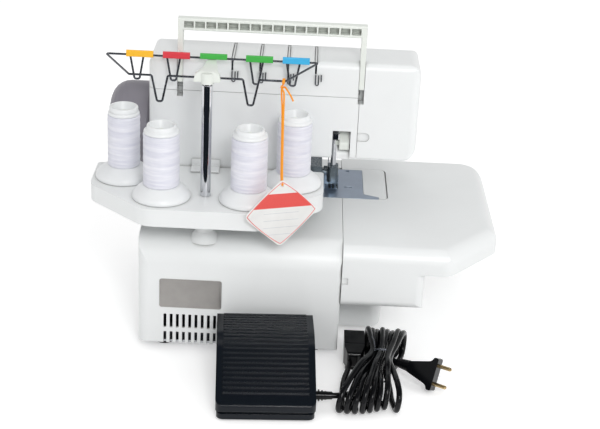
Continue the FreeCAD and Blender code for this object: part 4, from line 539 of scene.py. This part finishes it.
def rating_plate():
    """A bare foil plate on the rear face, with a fine raised border."""
    x0, x1, z0, z1, y = 73.5, 138.5, 52.0, 85.0, 63.0
    verts, faces, rings = [], [], []
    for grow, rise in ((0.0, 0.0), (0.0, 0.28), (-0.3, 0.4), (-1.3, 0.4), (-1.5, 0.3),
                       (-1.9, 0.3), (-2.1, 0.4)):
        ring = []
        for cx, cz, first in ((x1 - 2.5, z1 - 2.5, 0), (x0 + 2.5, z1 - 2.5, 90),
                              (x0 + 2.5, z0 + 2.5, 180), (x1 - 2.5, z0 + 2.5, 270)):
            for k in range(7):
                angle = math.radians(first + 15 * k)
                radius = max(0.4, 2.5 + grow)
                ring.append(len(verts))
                verts.append(mm(cx + radius * math.cos(angle), y + rise,
                                cz + radius * math.sin(angle)))
        rings.append(ring)
    for inner, outer in zip(rings, rings[1:]):
        for k in range(len(inner)):
            after = (k + 1) % len(inner)
            faces.append((inner[k], inner[after], outer[after], outer[k]))
    faces.append(tuple(rings[-1]))
    plate = mesh_object("rating_plate", verts, faces, smooth=False)
    plate.data.materials.append(metal("foil_plate", "a9a6a3", 0.42, 0.10, (1.0, 1.0, 14.0),
                                      stain=0.06))
    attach(plate, "machine")


def extruded(name, outline, spans):
    """One mesh of prisms along x, each with the outline of (y, z) between two x values."""
    verts, faces = [], []
    count = len(outline)
    for left, right in spans:
        start = len(verts)
        verts += [mm(x, y, z) for x in (left, right) for y, z in outline]
        faces += [(start + k, start + (k + 1) % count, start + (k + 1) % count + count,
                   start + k + count) for k in range(count)]
        faces += [tuple(range(start, start + count))[::-1],
                  tuple(range(start + count, start + 2 * count))]
    piece = mesh_object(name, verts, faces, smooth=False)
    piece.data.materials.append(MATERIALS["white_cover"])
    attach(piece, "machine")


SLIT_XS_MM = (73.5, 44.3, 15.1, -14.1)
SLIT_WEB_HALF_MM = 0.98


def slit_webs():
    """The white thread channels seen through the four slits in the head's top."""
    outline = [(-45.2, 291.2), (-45.8, 292.0), (-100.4, 292.0), (-100.4, 290.4), (-46.4, 290.4),
               (-45.5, 290.6)]
    extruded("slit_webs", outline,
             [(x - SLIT_WEB_HALF_MM, x + SLIT_WEB_HALF_MM) for x in SLIT_XS_MM])


def pocket_web():
    """Curved web below the lifter lever, which closes the view through its pocket."""
    outline = [(-43.4, 185.8), (-44.4, 190.2), (-45.6, 192.4), (-47.4, 194.5), (-50.0, 195.8),
               (-54.0, 197.0), (-58.0, 197.8), (-58.2, 196.5), (-54.4, 195.8), (-50.8, 194.6),
               (-48.6, 193.4), (-47.0, 191.6), (-45.9, 189.8), (-45.0, 185.8)]
    extruded("pocket_web", outline, [(-54.4, -40.9)])


def tag_string():
    """Doubled string, tied over the near rod's corner, with one short loose end."""
    twine = MATERIALS["string"]
    hole = mm(*TAG_HOLE_MM)
    face = Vector((-math.sin(TAG_TURN), math.cos(TAG_TURN), 0.0))
    points = [mm(18.6, 42.6, 297.0), mm(18.4, 42.4, 299.8), mm(18.2, 39.6, 301.4),
              mm(18.0, 37.4, 298.8), mm(17.8, 39.6, 296.2), mm(17.4, 42.9, 297.4),
              mm(17.2, 41.8, 301.0), mm(17.0, 38.0, 300.8), mm(17.2, 37.6, 297.0),
              mm(18.6, 40.6, 294.6), mm(20.6, 43.2, 293.4), mm(18.2, 45.4, 291.4),
              mm(16.6, 46.6, 288.0), mm(16.6, 52.2, 270.0), mm(15.8, 63.0, 238.0),
              mm(14.9, 74.6, 207.0), hole + face * 0.0016, hole - face * 0.0012,
              mm(16.0, 73.6, 207.0), mm(16.9, 61.8, 238.0), mm(17.7, 51.2, 270.0),
              mm(19.4, 45.4, 287.0), mm(19.8, 41.4, 291.6), mm(16.6, 41.0, 293.4),
              mm(15.0, 44.0, 292.6), mm(12.4, 46.0, 289.4), mm(9.2, 46.6, 284.6),
              mm(7.6, 46.8, 280.6)]
    string = cord_curve("tag_string_doubled", points, 1.8 * MM, twine)
    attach(string, "thread_guide")
    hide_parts("tag_string")


def return_spring():
    """The foot control's coil as an object of its own, with its own mesh; nothing here shortens it
    as the treadle goes down.
    """
    coil = bpy.data.objects.new("return_spring", nodes["pedal_spring"].data.copy())
    bpy.context.collection.objects.link(coil)
    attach(coil, "machine")
    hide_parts("pedal_spring")
    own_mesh(coil)


tag_string()
return_spring()
label_colours()
nodes["hang_tag"].data.materials[0] = tag_material()
plug_pins()
rating_plate()
slit_webs()
pocket_web()


# ---------------------------------------------------------------- floor, light and camera
FLOOR_HALF = 4.0
FLOOR_GLOW = 0.34
CLOTH_CENTRE_MM = (95, 40)
CLOTH_NEAR_MM, CLOTH_FAR_MM = 330, 1900
HORIZON_SHINE, CEILING_SHINE = 0.9, 0.14
ROOM_LIGHT = 0.74
AIM = (0.0, 0.0, 0.12)


def cloth_point(radius, angle):
    """A point of the cloth on the floor, by its distance from the tube and its direction."""
    turn = math.radians(angle)
    return mm(CLOTH_CENTRE_MM[0] + radius * math.sin(turn),
              CLOTH_CENTRE_MM[1] + radius * math.cos(turn), 2)


def studio():
    """The pale floor, the cloth and the room's light."""
    half = FLOOR_HALF
    floor = mesh_object("floor", [(-half, -half, 0), (half, -half, 0), (half, half, 0),
                                  (-half, half, 0)], [(0, 1, 2, 3)], smooth=False)
    s = Shader("floor_paint")
    path = s.node("LightPath")
    seen = s.math("MAXIMUM", path.outputs["Is Camera Ray"], path.outputs["Is Glossy Ray"])
    seen = s.math("MAXIMUM", seen, path.outputs["Is Transmission Ray"])
    diffuse = s.node("BsdfDiffuse", {"Color": (0.88, 0.88, 0.88, 1.0)})
    glow = s.node("Emission", {"Color": (1.0, 1.0, 1.0, 1.0),
                               "Strength": s.math("MULTIPLY", seen, FLOOR_GLOW)})
    both = s.node("AddShader")
    s.tree.links.new(diffuse.outputs[0], both.inputs[0])
    s.tree.links.new(glow.outputs[0], both.inputs[1])
    s.tree.links.new(both.outputs[0], s.output.inputs["Surface"])
    floor.data.materials.append(s.material)

    # a dark cloth in front of the object, which only shines show
    reach = [cloth_point(CLOTH_NEAR_MM, angle) for angle in range(-66, 67, 12)]
    reach += [cloth_point(CLOTH_FAR_MM, angle) for angle in range(66, -67, -12)]
    cloth = mesh_object("dark_cloth", reach, [tuple(range(len(reach)))], smooth=False)
    cloth_shader = Shader("dark_cloth")
    cloth_shader.finish(Base_Color=srgb("1c2026"), Roughness=0.9, Specular_IOR_Level=0.0)
    cloth.data.materials.append(cloth_shader.material)
    cloth.visible_camera = False
    cloth.visible_diffuse = False
    cloth.visible_shadow = False
    cloth.visible_transmission = False

    world = bpy.data.worlds.new("studio")
    bpy.context.scene.world = world
    world.use_nodes = True
    tree = world.node_tree
    tree.nodes.clear()

    def node(kind, **inputs):
        made = tree.nodes.new("ShaderNode" + kind)
        for key, value in inputs.items():
            socket = made.inputs[int(key[1:])] if key[1:].isdigit() else made.inputs[key]
            if isinstance(value, bpy.types.NodeSocket):
                tree.links.new(value, socket)
            else:
                socket.default_value = value
        return made

    path = node("LightPath")
    height = node("SeparateXYZ", _0=node("TexCoord").outputs["Generated"]).outputs["Z"]
    # a white room with a dimmer ceiling, which only shines are shown
    ceiling = node("MapRange", _0=height, _1=0.1, _2=0.6, _3=HORIZON_SHINE,
                   _4=CEILING_SHINE).outputs[0]
    diffuse = node("MapRange", _0=path.outputs["Is Camera Ray"], _3=ROOM_LIGHT,
                   _4=1.0).outputs[0]
    shine = node("Math", _0=path.outputs["Is Glossy Ray"], _1=path.outputs["Is Transmission Ray"])
    shine.operation = "MAXIMUM"
    strength = node("Mix", _0=shine.outputs[0], _2=diffuse, _3=ceiling).outputs[0]
    background = node("Background", Color=(1.0, 1.0, 1.0, 1.0), Strength=strength)
    output = node("OutputWorld")
    tree.links.new(background.outputs[0], output.inputs["Surface"])


def area_light(name, place, target, size, power):
    data = bpy.data.lights.new(name, "AREA")
    data.shape = "DISK"
    data.size = size
    data.energy = power
    lamp = bpy.data.objects.new(name, data)
    bpy.context.collection.objects.link(lamp)
    lamp.location = place
    lamp.rotation_euler = (Vector(target) - Vector(place)).to_track_quat("-Z", "Y").to_euler()
    return lamp


def lights():
    """Soft lamps at a plain level, and a small one for the shines."""
    area_light("key", (-0.5, 2.1, 1.5), AIM, 0.65, 17.8)
    area_light("side", (-1.8, 0.9, 1.0), AIM, 1.2, 3.5)
    area_light("top", (0.1, -0.5, 1.7), AIM, 0.6, 1.2)
    area_light("glint", (-0.1, 1.25, 1.25), (-0.05, 0.1, 0.05), 0.12, 1.6)


def camera():
    """The camera, behind the machine and a little above it."""
    data = bpy.data.cameras.new("camera")
    data.lens = 84.0
    data.sensor_width = 36.0
    seat = bpy.data.objects.new("camera", data)
    bpy.context.collection.objects.link(seat)
    seat.location = (-0.0045, 1.363, 0.744)
    turn = Matrix.Rotation(math.radians(180), 4, "Z")
    tilt = Matrix.Rotation(math.radians(66), 4, "X")
    roll = Matrix.Rotation(math.radians(2.7), 4, "Z")
    seat.rotation_euler = (turn @ tilt @ roll).to_euler()
    bpy.context.scene.camera = seat


studio()
lights()
camera()
bpy.context.scene.view_settings.view_transform = "Standard"
